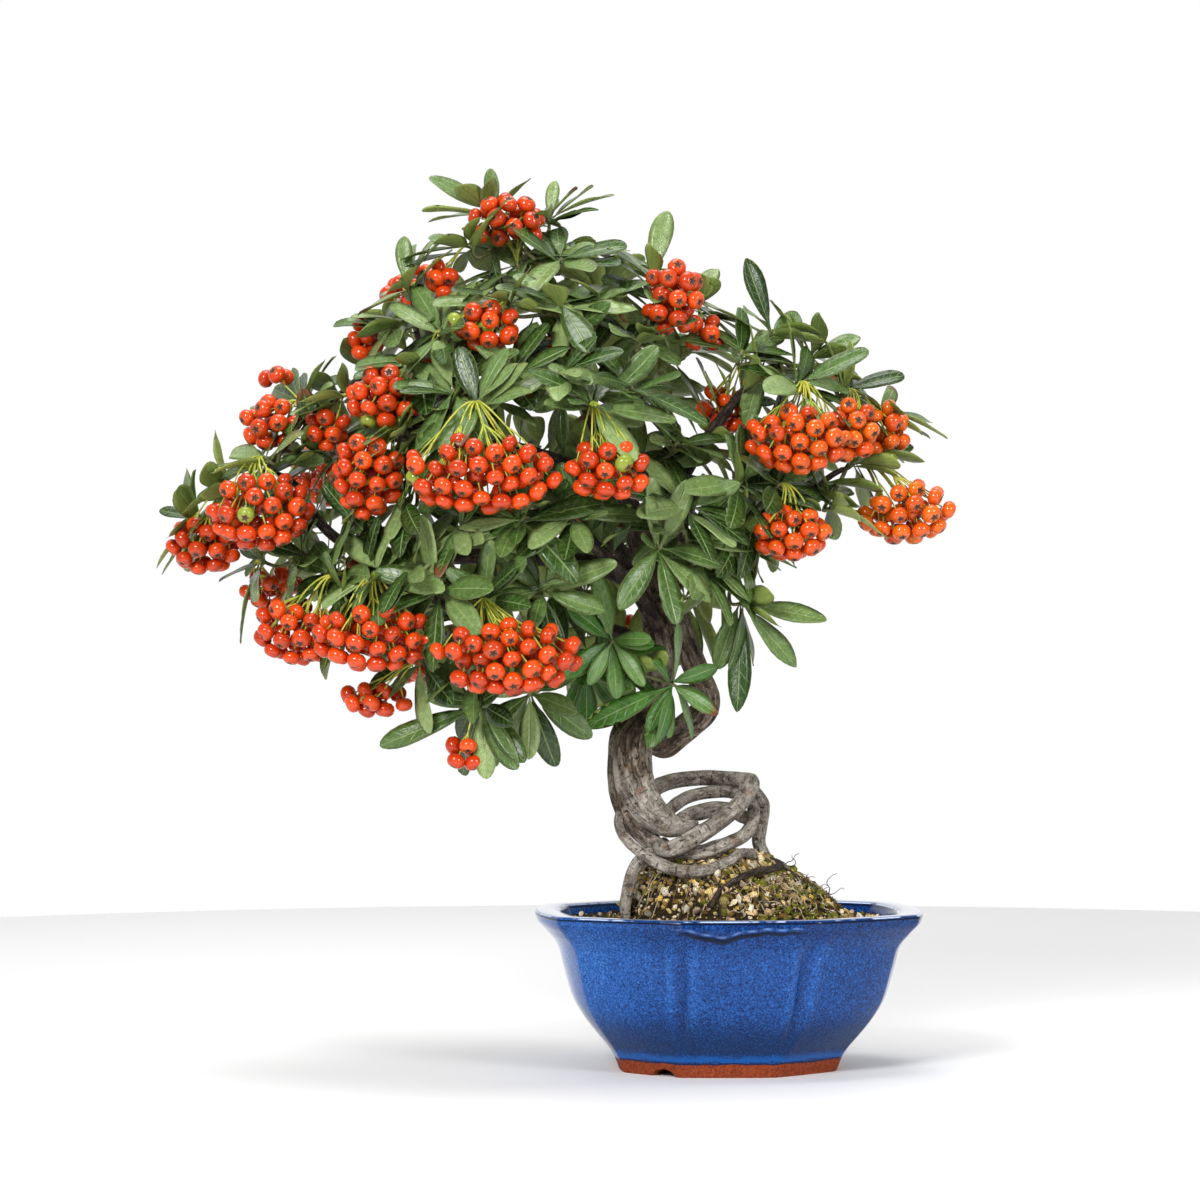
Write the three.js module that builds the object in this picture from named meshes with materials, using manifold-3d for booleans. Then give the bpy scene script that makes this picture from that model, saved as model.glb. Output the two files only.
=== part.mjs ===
// A pyracantha bonsai in a glazed pot: lobed stoneware pot with its drain screen and soil, the coiled
// roots, trunk and branches as one piece of wood, sprays of leaves and bunches of berries.
// Millimetres, +Z up, the front of the tree toward -Y.
import * as THREE from 'three';
import { mergeVertices } from 'three/addons/utils/BufferGeometryUtils.js';
import Module from 'manifold-3d';

const wasm = await Module();
wasm.setup();

// Driving dimensions.
const FOOT_HALF_WIDTH = 43;
const RIM_HALF_WIDTH = 75.3;
const RIM_HEIGHT = 61.5;
const FLOOR_UNDERSIDE = 4;
const FLOOR_TOP = 9.5;
const DRAIN_RADIUS = 8;
const SCREEN_SIDE = 22;
const SCREEN_THICKNESS = 1;
const SCREEN_HOLE = 4.6;
const SCREEN_PITCH = 6.6;
const SOIL_EDGE_HEIGHT = 57.5;
const MOUND_HEIGHT = 25;
const GAP = 0.4;
const SLIVER = 0.08;
const WOOD_SLIVER = 0.3;
const BERRY_RADIUS = 3.85;
const AREA_OF_A_BERRY = 64;
const LEAF_THICKNESS = 0.9;
const STEM_RADIUS = 0.95;
const STALK_RADIUS = 0.95;
const TWIG_RADIUS = 1.15;
const CROWN_CENTRE = new THREE.Vector3(-60, 0, 222);
const UP = new THREE.Vector3(0, 0, 1);

// Seen from above, the eight corners of the rim and of the foot, counter-clockwise.
const RIM_CORNERS = [
  [72.5, -29], [66, 41], [20, 61], [-33, 56.5], [-72.5, 29], [-66, -41], [-20, -61], [33, -56.5],
];
const FOOT_CORNERS = [
  [41, -16], [41, 20], [19, 38.3], [-17, 37.7], [-41, 16], [-41, -20], [-19, -38.3], [17, -37.7],
];
// How far each edge between two corners swells outward, on the rim and on the foot.
const RIM_SWELL = [5.8, 1.6, 1.4, 1.6, 5.8, 1.6, 1.4, 1.6];
const FOOT_SWELL = [2, 0.8, 0.8, 0.8, 2, 0.8, 0.8, 0.8];
const EDGE_STEPS = [0, 0.08, 0.5, 0.92];
// Rows of the wall: height, half width, depth of the flutes.
const OUTER_WALL = [
  [0, 42.6, 0], [5, 44.6, 0], [9.2, 47.4, 0.4], [14.4, 51.8, 1.4], [21, 56.9, 2.4],
  [28.5, 61, 2.8], [39.4, 64.2, 2.8], [48, 66.6, 2.2], [53.5, 70.8, 1], [57.2, 74.2, 0.3], [60, 75.3, 0],
];
const RIM_TOP = [[RIM_HEIGHT, 73.4, 0], [61.3, 66.2, 0]];
const INNER_WALL = [[60, 65, 0], [48, 60.6, 1.4], [24, 53.4, 1.4], [FLOOR_TOP, 39, 0]];

// Wood, each limb a list of points with the radius there: x, y, z, radius.
const ROOTS = {
  trunk: [
    [-12, -15, 96, 0.9], [-17, -15.5, 94.6, 2.9], [-22.5, -15.5, 95, 4.9],
    [-28.5, -15.5, 98.8, 6.5], [-33.5, -15, 105, 7.4], [-36.5, -14, 112, 7.9],
    [-37.5, -12, 119, 7.9], [-37, -8.5, 125.5, 7.4], [-35, -3, 130, 6.5], [-34, 5, 132, 5.8],
    [-32, 12, 131, 5.2], [-29, 15, 127, 5.0], [-25, 13, 125, 5.0], [-20, 10, 129, 5.2],
    [-14, 7, 134, 5.4], [-9, 4, 139, 5.4], [-8, 3, 144, 5.2], [-11, 3, 152, 5.1],
    [-16, 3, 164, 5.0], [-22, 2, 180, 4.7], [-30, 1, 194, 4.2],
  ],
  second_stem: [
    [-27, -14, 85, 2.4], [-33, -13, 90, 3.1], [-38, -11, 96, 3.7], [-41.5, -9.5, 104, 4.1],
    [-43, -8, 113, 4.1], [-43, -6, 122, 4.0], [-42, -2, 129, 4.2], [-38, 5, 135, 4.5],
    [-33, 9, 140, 5.0], [-28, 9, 147, 5.2], [-26, 6, 157, 5.4], [-28, 4, 171, 5.3],
    [-31, 2, 186, 5.1], [-34, 2, 202, 4.8], [-38, 2, 217, 4.3], [-45, 4, 235, 3.8],
    [-53, 2, 254, 3.2], [-62, 0, 274, 2.6], [-70, -3, 289, 2.1], [-76, -5, 302, 1.6],
  ],
  coil_top: [
    [-31, 4, 104, 3.0], [-28, 13, 108, 3.1], [-21, 21, 110.5, 3.1], [-11, 24, 111.5, 3.1],
    [-2, 21, 111.5, 3.1], [4, 13, 111.5, 3.1], [9, 3, 111, 3.2], [8, -6, 108, 3.1],
    [4, -12, 103, 3.2], [-2, -18, 98, 3.3], [-10, -22.5, 92.7, 3.4], [-17.5, -24, 88.6, 3.4],
    [-23.5, -22, 86, 3.4], [-28, -16, 87, 3.2], [-31, -8, 92, 3.0],
  ],
  coil_middle: [
    [-25, 2, 98, 2.4], [-20.5, 10, 101.5, 2.5], [-15, 16, 104.5, 2.5], [-8, 18, 106, 2.5],
    [0, 15, 106.5, 2.5], [6, 9, 105, 2.5], [9.5, 2, 102, 2.5], [9.5, -4, 96.5, 2.5],
    [6, -10, 91, 2.7], [-1, -15.5, 87.8, 2.8], [-8, -18.5, 85.6, 2.8], [-15, -18, 84, 2.7],
    [-21, -13, 84, 2.5], [-26, -8, 88, 2.4],
  ],
  coil_inner: [
    [-19, -4, 96, 2.8], [-14, 6, 98, 3.1], [-7, 11, 99.5, 3.2], [1, 8, 99.5, 3.0], [7, 1, 97, 2.6],
  ],
  right_root: [
    [5, 6, 110, 2.5], [10, 7, 107.5, 2.5], [13.8, 6, 101.5, 2.5], [13, 4, 94, 2.5],
    [12, 2, 87.5, 2.6], [14.5, 1, 81, 2.5], [17, 1, 70, 2.2],
  ],
  loop_root: [
    [-37, -8, 104, 2.2], [-41, -10, 101.5, 2.0], [-42.8, -13, 96.5, 1.8], [-41.5, -16, 92, 1.9],
    [-38.5, -20, 88.3, 1.9], [-33, -24, 84, 2.1], [-27, -27, 80.6, 2.4], [-20, -29, 78.5, 2.5],
    [-13, -29, 77.9, 2.4], [-6, -27, 79.3, 2.2], [0, -23, 82, 2.0], [5, -18, 84.5, 1.8],
    [9, -13, 83, 1.6], [12, -10, 78, 1.4],
  ],
  left_root: [
    [-29, -16, 85, 2.5], [-33.5, -20, 82.5, 2.5], [-37, -22, 78, 2.4], [-39, -23, 72, 2.3],
    [-40.2, -23, 65, 2.1], [-40, -22, 57, 1.6],
  ],
  dark_root: [
    [14, -2, 81, 1.7], [20, -8, 78.5, 1.5], [17, -17, 77, 1.4], [9, -24, 75.8, 1.4],
    [2.5, -29, 73.2, 1.3], [-4, -34, 68.8, 1.2], [-8, -37, 63.4, 1.0],
  ],
};
const BRANCHES = {
  low_left: [
    [-25, 6, 157, 4.4], [-38, 4, 159, 4.0], [-50, -2, 158, 3.8], [-64, -12, 161, 3.4],
    [-81, -24, 167, 2.9], [-100, -36, 176, 2.4], [-118, -44, 185, 2.0],
    [-139, -46, 191, 1.5],
  ],
  left: [
    [-30, 2, 186, 4.6], [-46, 4, 194, 4.0], [-66, 6, 198, 3.6], [-97, 2, 199, 3.1],
    [-126, -6, 199, 2.6], [-149, -12, 204, 2.2], [-160, -14, 214, 1.9],
    [-166, -14, 225, 1.5],
  ],
  upper_left: [
    [-41, 2, 225, 3.2], [-58, -8, 233, 2.8], [-77, -22, 239, 2.4], [-96, -38, 244, 2.0],
    [-111, -48, 250, 1.5],
  ],
  high_left: [
    [-56, 1, 262, 2.8], [-73, 4, 270, 2.5], [-97, 6, 275, 2.2], [-120, 6, 278, 1.9],
    [-140, 3, 271, 1.6], [-155, 0, 259, 1.3],
  ],
  high_centre: [
    [-54, 2, 256, 2.6], [-58, -18, 271, 2.2], [-66, -32, 284, 1.6],
  ],
  inner_right: [
    [-34, 1, 202, 3.4], [-22, -5, 223, 2.8], [-9, -10, 244, 2.3], [3, -12, 260, 1.9],
    [14, -12, 271, 1.4],
  ],
  right: [
    [-29, 2, 182, 4.2], [-15, -2, 194, 3.6], [2, -6, 206, 3.0], [19, -8, 218, 2.5],
    [35, -10, 226, 1.8],
  ],
  high_right: [
    [-46, 4, 237, 2.8], [-36, 9, 260, 2.4], [-30, 10, 280, 2.0], [-27, 6, 297, 1.4],
  ],
  front: [
    [-27, 0, 172, 3.4], [-38, -18, 188, 2.9], [-52, -36, 203, 2.4], [-65, -52, 214, 1.9],
    [-78, -60, 220, 1.4],
  ],
  front_right: [
    [-31, 0, 196, 3.2], [-19, -16, 203, 2.5], [-19, -32, 210, 1.8],
  ],
  back: [
    [-28, 6, 178, 4.0], [-34, 24, 190, 3.4], [-45, 44, 206, 2.8], [-56, 60, 222, 2.3],
    [-66, 70, 237, 1.6],
  ],
  back_left: [
    [-42, 6, 221, 3.4], [-62, 24, 233, 2.8], [-90, 42, 242, 2.3], [-119, 54, 247, 1.9],
    [-143, 58, 247, 1.4],
  ],
  back_low: [
    [-26, 8, 162, 3.4], [-40, 26, 168, 2.9], [-62, 44, 176, 2.4], [-86, 56, 182, 1.9],
    [-111, 62, 186, 1.4],
  ],
  back_right: [
    [-26, 4, 192, 3.4], [-10, 22, 208, 2.8], [6, 38, 224, 2.3], [20, 46, 240, 1.6],
  ],
  back_high: [
    [-50, 6, 249, 2.6], [-56, 26, 269, 2.2], [-62, 40, 288, 1.8], [-66, 46, 302, 1.3],
  ],
};

// Bunches of berries: name, middle, half sizes, berries on the real bunch, the rosette it hangs from.
const BUNCHES = [
  ['top', [-86, -13, 328], [15, 10, 11], 14, [-82, -8, 313]],
  ['upper_left_high', [-111, -22, 305], [6, 5, 10], 5, [-100, -14, 320]],
  ['upper_left', [-141, -12, 282], [6, 6, 11], 5, [-130, -20, 288]],
  ['upper_centre', [-93, -54, 285], [15, 9, 9], 12, [-85, -44, 296]],
  ['left_shoulder', [-131, -52, 258], [15, 11, 12], 20, [-118, -46, 272]],
  ['left_front', [-137, -60, 229], [13, 11, 17], 22, [-126, -54, 247]],
  ['centre', [-94, -84, 229], [30, 13, 15], 40, [-96, -72, 256]],
  ['centre_right', [-47, -80, 230], [16, 10, 11], 17, [-53, -72, 256]],
  ['left', [-179, -42, 216], [20, 14, 15], 28, [-179, -30, 237]],
  ['far_left', [-203, -12, 203], [14, 12, 11], 15, [-194, -14, 225]],
  ['left_high', [-177, -20, 250], [12, 10, 10], 11, [-166, -12, 259]],
  ['left_back_low', [-178, 4, 186], [12, 10, 9], 9, [-183, -2, 198]],
  ['low_left', [-164, -44, 171], [17, 12, 14], 19, [-151, -40, 192]],
  ['low_front', [-135, -66, 168], [23, 12, 13], 26, [-133, -58, 193]],
  ['low_centre', [-85, -80, 161], [29, 13, 14], 36, [-93, -70, 183]],
  ['hanging_left', [-135, -42, 144], [15, 9, 6], 9, [-119, -46, 159]],
  ['hanging', [-101, -48, 124], [9, 7, 6], 5, [-96, -48, 142]],
  ['right', [25, -38, 243], [20, 13, 13], 28, [27, -26, 266]],
  ['right_high', [60, -6, 247], [10, 10, 12], 12, [46, -8, 264]],
  ['far_right', [68, -14, 216], [19, 13, 12], 21, [50, -6, 236]],
  ['right_low', [23, -34, 207], [15, 11, 10], 17, [20, -26, 227]],
  ['high_right', [-22, -38, 297], [12, 10, 14], 14, [-30, -18, 307]],
  ['inner_right', [-2, -2, 256], [11, 10, 10], 11, [5, -20, 278]],
  ['back_left_high', [-124, 60, 306], [14, 11, 12], 16, [-126, 46, 290]],
  ['back_left', [-160, 72, 234], [17, 13, 14], 24, [-151, 56, 255]],
  ['back_low', [-121, 82, 160], [22, 13, 13], 26, [-131, 66, 181]],
  ['back_centre', [-70, 98, 224], [24, 13, 14], 30, [-75, 84, 244]],
  ['back_low_right', [-45, 84, 164], [16, 12, 12], 18, [-56, 72, 185]],
  ['back_right', [22, 64, 232], [18, 12, 13], 22, [6, 52, 254]],
];

// Leafy sprays: name, rosettes of leaves, leaves that reach a place of their own: rosette, tip.
const SPRAYS = [
  ['crown', [[-92, 4, 334], [-100, -14, 320], [-70, 0, 331], [-82, -8, 313], [-65, -20, 314]],
    [[0, [-116, 0, 348]], [0, [-92, -2, 350]], [2, [-68, 2, 346]], [2, [-58, -10, 332]],
      [4, [-40, -26, 320]], [1, [-116, -20, 322]]]],
  ['high_right', [[-30, -18, 307], [-14, -10, 298], [-35, -34, 283]],
    [[0, [-25, -14, 333]], [1, [-4, 2, 312]]]],
  ['right_crown', [[17, -6, 287], [5, -20, 278], [27, -26, 266], [46, -8, 264], [33, 4, 278]],
    [[0, [6, -12, 314]], [2, [53, -30, 277]], [3, [68, -4, 271]], [4, [53, 10, 285]]]],
  ['right_end', [[50, -6, 236], [41, -14, 219], [61, 4, 257]], [[0, [72, 4, 244]]]],
  ['right_low', [[20, -26, 227], [4, -36, 227], [4, -20, 209]], []],
  ['right_hanging', [[6, -16, 181], [-3, -6, 194]],
    [[0, [37, -22, 174]], [0, [26, -10, 155]], [0, [4, -22, 139]], [0, [-6, -20, 156]]]],
  ['mid_right', [[-16, -48, 218], [-10, -34, 197], [-27, -54, 202]], []],
  ['centre_right', [[-53, -72, 256], [-38, -64, 262], [-65, -64, 268]], []],
  ['centre', [[-96, -72, 256], [-83, -58, 268], [-105, -64, 261]], []],
  ['upper_centre', [[-65, -44, 295], [-85, -44, 296], [-50, -26, 297]], []],
  ['upper_left', [[-125, -16, 304], [-111, -42, 285], [-130, -20, 288]], [[0, [-127, -12, 323]]]],
  ['left_shoulder',
    [[-118, -46, 272], [-147, -32, 261], [-126, -54, 247], [-145, -40, 212], [-124, -60, 220]], []],
  ['left_end', [[-166, -12, 259], [-179, -30, 237], [-157, -24, 239], [-194, -14, 225], [-208, -2, 214]],
    [[4, [-222, 2, 218]], [2, [-164, -30, 263]]]],
  ['left_low', [[-165, -24, 200], [-183, -2, 198], [-151, -40, 192]], []],
  ['front_low_left', [[-133, -58, 193], [-121, -64, 195], [-145, -46, 180]], []],
  ['low_centre', [[-93, -70, 183], [-111, -68, 186], [-72, -64, 186]], []],
  ['centre_middle', [[-80, -68, 212], [-60, -62, 214], [-104, -64, 209]], []],
  ['low', [[-96, -48, 142], [-77, -44, 146], [-119, -46, 159]],
    [[0, [-134, -42, 126]], [0, [-91, -53, 115]], [1, [-76, -50, 122]], [0, [-79, -58, 121]]]],
  ['trunk_low', [[-21, -20, 149], [-45, -34, 166], [-55, -20, 154]],
    [[0, [-56, -28, 134]], [0, [-31, -28, 132]], [0, [-4, -17, 138]], [0, [-32, -27, 126]]]],
  ['back_high', [[-50, 38, 306], [-72, 34, 314], [-14, 42, 284], [-34, 62, 269]], []],
  ['back_upper_left', [[-102, 44, 298], [-126, 46, 290], [-115, 66, 269]], []],
  ['back_left', [[-151, 56, 255], [-170, 42, 241], [-143, 74, 231]], []],
  ['back_left_low', [[-155, 50, 198], [-131, 66, 181], [-173, 34, 211]], []],
  ['back_low', [[-99, 70, 173], [-70, 60, 165], [-41, 44, 161]], []],
  ['back_centre', [[-75, 84, 244], [-48, 78, 247], [-99, 84, 209], [-42, 76, 204], [-56, 72, 185]], []],
  ['back_right', [[6, 52, 254], [26, 38, 246], [15, 46, 217], [-14, 48, 183]], []],
];
const LEAVES_OF_A_ROSETTE = 3;

const glaze = new THREE.MeshStandardMaterial({ color: 0x2f55a5, roughness: 0.16, metalness: 0 });
const plastic = new THREE.MeshStandardMaterial({ color: 0x24282a, roughness: 0.6, metalness: 0 });
const earth = new THREE.MeshStandardMaterial({ color: 0x8a7340, roughness: 0.95, metalness: 0 });
const bark = new THREE.MeshStandardMaterial({ color: 0x6b5c50, roughness: 0.9, metalness: 0 });
const foliage = new THREE.MeshStandardMaterial({ color: 0x4c6b45, roughness: 0.5, metalness: 0 });
const fruit = new THREE.MeshStandardMaterial({ color: 0xdb4a26, roughness: 0.3, metalness: 0 });

// The same numbers on every run: a small generator of values from 0 to 1.
function seeded(seed) {
  let state = seed >>> 0;
  return () => {
    state = (state + 0x6d2b79f5) >>> 0;
    let t = Math.imul(state ^ (state >>> 15), state | 1);
    t = (t ^ (t + Math.imul(t ^ (t >>> 7), t | 61))) >>> 0;
    return ((t ^ (t >>> 14)) >>> 0) / 4294967296;
  };
}

function geometryOf(points, faces) {
  const geometry = new THREE.BufferGeometry();
  geometry.setAttribute('position', new THREE.Float32BufferAttribute(points.flat(), 3));
  geometry.setIndex(faces.flat());
  return geometry;
}

// Closed geometry to a solid that can be joined and cut.
function solidOf(geometry) {
  const bare = geometry.clone();
  bare.deleteAttribute('normal');
  bare.deleteAttribute('uv');
  const merged = mergeVertices(bare, 1e-5);
  const solid = new wasm.Manifold(new wasm.Mesh({
    numProp: 3,
    vertProperties: new Float32Array(merged.attributes.position.array),
    triVerts: new Uint32Array(merged.index.array),
  }));
  return solid.volume() < 0 ? new wasm.Manifold() : solid;
}

// The largest body of a solid, without scraps or sealed hollows.
function mainBody(solid, sliver = SLIVER) {
  const bodies = solid.simplify(sliver).decompose().filter((body) => body.volume() > 0);
  bodies.sort((a, b) => b.volume() - a.volume());
  return bodies[0];
}

function meshOf(name, solid, material) {
  const data = solid.getMesh();
  const geometry = new THREE.BufferGeometry();
  const positions = new Float32Array(data.numVert * 3);
  for (let i = 0; i < data.numVert; i += 1) {
    for (let k = 0; k < 3; k += 1) positions[i * 3 + k] = data.vertProperties[i * data.numProp + k];
  }
  geometry.setAttribute('position', new THREE.BufferAttribute(positions, 3));
  geometry.setIndex(new THREE.BufferAttribute(new Uint32Array(data.triVerts), 1));
  geometry.computeVertexNormals();
  const mesh = new THREE.Mesh(geometry, material);
  mesh.name = name;
  return mesh;
}

// Closed surface through equal rings of points; ends are closed with a fan unless the rings form a loop.
// The quads are split along one diagonal or the other.
function ringSurface(rings, loop, leaning = false) {
  const count = rings[0].length;
  const points = rings.flat();
  const faces = [];
  const last = loop ? rings.length : rings.length - 1;
  for (let r = 0; r < last; r += 1) {
    const a = r * count;
    const b = ((r + 1) % rings.length) * count;
    for (let i = 0; i < count; i += 1) {
      const j = (i + 1) % count;
      if (leaning) faces.push([a + i, a + j, b + i], [a + j, b + j, b + i]);
      else faces.push([a + i, a + j, b + j], [a + i, b + j, b + i]);
    }
  }
  if (!loop) {
    for (let i = 1; i < count - 1; i += 1) {
      faces.push([0, i + 1, i]);
      faces.push([last * count, last * count + i, last * count + i + 1]);
    }
  }
  return geometryOf(points, faces);
}

// A tapering round limb through points with a radius each, its section carried along without twisting.
function limb(rows, sides, steps, extra = 0, ridge = 0) {
  const curve = new THREE.CatmullRomCurve3(rows.map((row) => new THREE.Vector3(row[0], row[1], row[2])));
  curve.curveType = 'centripetal';
  const rings = [];
  let side = null;
  for (let s = 0; s <= steps; s += 1) {
    const t = s / steps;
    const centre = curve.getPoint(t);
    const along = curve.getTangent(t);
    if (side === null) side = new THREE.Vector3(0.31, 0.17, 0.93).cross(along);
    side.addScaledVector(along, -side.dot(along)).normalize();
    const other = along.clone().cross(side);
    const place = t * (rows.length - 1);
    const row = Math.min(Math.floor(place), rows.length - 2);
    const radius = THREE.MathUtils.lerp(rows[row][3], rows[row + 1][3], place - row) + extra;
    const ring = [];
    for (let i = 0; i < sides; i += 1) {
      const angle = (i / sides) * 2 * Math.PI;
      const swell = 1 + ridge * Math.sin(3 * angle + 4 * t) + ridge * Math.sin(9 * t + 2 * angle);
      const point = centre.clone()
        .addScaledVector(side, Math.cos(angle) * radius * swell)
        .addScaledVector(other, Math.sin(angle) * radius * swell);
      ring.push(point.toArray());
    }
    rings.push(ring);
  }
  return solidOf(ringSurface(rings, false));
}

// Outline of the pot at a half width, with the flutes pressed in at the four front and back corners.
function potOutline(halfWidth, flute) {
  const t = (Math.max(halfWidth, FOOT_HALF_WIDTH) - FOOT_HALF_WIDTH) / (RIM_HALF_WIDTH - FOOT_HALF_WIDTH);
  const shrink = Math.min(1, halfWidth / FOOT_HALF_WIDTH);
  const corner = (i) => new THREE.Vector2(...FOOT_CORNERS[i % 8])
    .lerp(new THREE.Vector2(...RIM_CORNERS[i % 8]), t);
  const outline = [];
  for (let edge = 0; edge < 8; edge += 1) {
    const from = corner(edge);
    const to = corner(edge + 1);
    const outward = new THREE.Vector2(to.y - from.y, from.x - to.x).normalize();
    const swell = THREE.MathUtils.lerp(FOOT_SWELL[edge], RIM_SWELL[edge], t);
    for (const step of EDGE_STEPS) {
      const point = from.clone().lerp(to, step).addScaledVector(outward, swell * 4 * step * (1 - step));
      const folded = step === 0 && Math.abs(from.x) < Math.abs(from.y);
      const bulged = Math.abs(from.x) < Math.abs(from.y) || Math.abs(to.x) < Math.abs(to.y);
      if (folded) point.addScaledVector(point.clone().normalize(), -flute);
      if (!folded && bulged && step === 0.5) point.addScaledVector(outward, 0.5 * flute);
      outline.push([point.x * shrink, point.y * shrink]);
    }
  }
  return outline;
}

const ringAt = ([z, halfWidth, flute]) => potOutline(halfWidth, flute).map(([x, y]) => [x, y, z]);

// Row of the inner wall at a height, moved inward by a clearance.
function innerRow(z, clearance) {
  const upper = INNER_WALL.findIndex((row, i) => i > 0 && row[0] <= z);
  const [above, below] = [INNER_WALL[upper - 1], INNER_WALL[upper]];
  const t = (z - below[0]) / (above[0] - below[0]);
  const halfWidth = THREE.MathUtils.lerp(below[1], above[1], t) - clearance;
  return [z, halfWidth, THREE.MathUtils.lerp(below[2], above[2], t)];
}

const drainRing = (z) => potOutline(FOOT_HALF_WIDTH, 0).map(([x, y]) => {
  const reach = DRAIN_RADIUS / Math.hypot(x, y);
  return [x * reach, y * reach, z];
});

const potBody = solidOf(ringSurface([
  ...OUTER_WALL.map(ringAt),
  ...RIM_TOP.map(ringAt),
  ...INNER_WALL.map(ringAt),
  drainRing(FLOOR_TOP),
  drainRing(FLOOR_UNDERSIDE),
  ringAt([FLOOR_UNDERSIDE, 36, 0]),
  ringAt([0, 36.8, 0]),
], true));

// A low arch cut through the foot ring lets the water out.
function footNotch(x, y) {
  const arch = new THREE.CylinderGeometry(5, 5, 16, 14);
  arch.scale(1, 1, 0.56);
  const notch = new THREE.Mesh(arch);
  notch.position.set(x, y, -0.1);
  notch.rotation.z = Math.atan2(y, x) - Math.PI / 2;
  notch.updateMatrixWorld();
  return solidOf(arch.clone().applyMatrix4(notch.matrixWorld));
}

const pot = mainBody(potBody.subtract(footNotch(-27, -35)).subtract(footNotch(27, 35)));

// Square plastic screen with a grid of holes, laid over the drain hole.
function screenPlate() {
  const middle = FLOOR_TOP + GAP + SCREEN_THICKNESS / 2;
  const holes = [];
  for (let i = -1; i < 2; i += 1) {
    for (let j = -1; j < 2; j += 1) {
      holes.push(solidOf(new THREE.BoxGeometry(SCREEN_HOLE, SCREEN_HOLE, 4)
        .translate(i * SCREEN_PITCH, j * SCREEN_PITCH, middle)));
    }
  }
  const plate = new THREE.BoxGeometry(SCREEN_SIDE, SCREEN_SIDE, SCREEN_THICKNESS).translate(0, 0, middle);
  return solidOf(plate).subtract(wasm.Manifold.union(holes));
}

// Height of the soil: level at the wall, rising steeply on the left and slowly on the right to the root
// ball, with grains as small humps.
function soilHeight(x, y) {
  const reach = Math.hypot((x - 2) / 45, y / 40);
  const power = THREE.MathUtils.lerp(6.5, 1.7, THREE.MathUtils.smoothstep(x, -30, 20));
  const mound = Math.max(0, 1 - reach ** power) * (MOUND_HEIGHT + 0.06 * x);
  const grains = Math.sin(x * 1.9 + Math.sin(y * 1.3)) * Math.sin(y * 2.1 + Math.sin(x * 0.9));
  return SOIL_EDGE_HEIGHT + mound + 0.7 * grains * Math.min(1, mound / 4);
}

const SOIL_RINGS = [0.82, 0.7, 0.58, 0.42, 0.22];
const soilEdge = potOutline(...innerRow(SOIL_EDGE_HEIGHT, GAP + 0.1).slice(1));
const soilSolid = solidOf(ringSurface([
  ringAt(innerRow(FLOOR_TOP + GAP, GAP + 0.1)),
  ringAt(innerRow(24, GAP + 0.1)),
  ringAt(innerRow(48, GAP + 0.1)),
  soilEdge.map(([x, y]) => [x, y, SOIL_EDGE_HEIGHT]),
  ...SOIL_RINGS.map((q) => soilEdge.map(([x, y]) => [x * q, y * q, soilHeight(x * q, y * q)])),
], false, true));
const screenPocket = solidOf(new THREE.BoxGeometry(SCREEN_SIDE + 1, SCREEN_SIDE + 1, 4)
  .translate(0, 0, FLOOR_TOP + SCREEN_THICKNESS + 2 * GAP - 2));

// Roots, trunk and branches are tubes joined into one body.
const SIDES_OF = { trunk: 8, second_stem: 6, coil_top: 6, loop_root: 4, left_root: 4, dark_root: 4 };
const soilCuts = [];
const limbs = [];
const woodPoints = [];
for (const [name, rows] of Object.entries(ROOTS)) {
  const sides = SIDES_OF[name] ?? 5;
  limbs.push(limb(rows, sides, rows.length - 1, 0, name === 'trunk' ? 0.05 : 0));
  if (rows.some((row) => row[2] < 92)) soilCuts.push(limb(rows, sides, rows.length - 1, 1.2 * GAP));
}
for (const rows of Object.values(BRANCHES)) {
  limbs.push(limb(rows, 4, rows.length - 1));
  rows.slice(2).forEach((row) => woodPoints.push(row));
}
ROOTS.second_stem.slice(12).forEach((row) => woodPoints.push(row));
const limbWood = wasm.Manifold.union(limbs);
const soil = mainBody(soilSolid.subtract(screenPocket).subtract(wasm.Manifold.union(soilCuts)));

// Berries, twigs and leaves each keep clear of what stands before them.
function boxesMeet(a, b) {
  const [p, q] = [a.boundingBox(), b.boundingBox()];
  return [0, 1, 2].every((k) => p.min[k] < q.max[k] && q.min[k] < p.max[k]);
}

const clashes = (solid, others) => others.some((other) => boxesMeet(solid, other)
  && solid.intersect(other).volume() > 1e-6);

const vector = ([x, y, z]) => new THREE.Vector3(x, y, z);

// Direction in which a shoot at a place grows: out of the crown and up.
function growth(place) {
  const out = vector(place).sub(CROWN_CENTRE).normalize();
  return out.multiplyScalar(0.8).addScaledVector(UP, 0.55).normalize();
}

// A stem between two places, curving round a third point that it doesn't reach.
function bentStem(from, bend, to, radius, sides, grow = 0) {
  const rows = [0, 1, 2, 3, 4].map((i) => {
    const t = i / 4;
    const p = from.clone().multiplyScalar((1 - t) ** 2)
      .addScaledVector(bend, 2 * t * (1 - t))
      .addScaledVector(to, t * t);
    return [p.x, p.y, p.z, radius * (1.08 - 0.2 * t) + grow];
  });
  return limb(rows, sides, 2);
}

// Faceted cores for small, middling and large bunches: each face carries one berry.
const CORES = [
  new THREE.TetrahedronGeometry(1, 0), new THREE.OctahedronGeometry(1, 0),
  new THREE.IcosahedronGeometry(1, 0), new THREE.OctahedronGeometry(1, 1),
];

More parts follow.
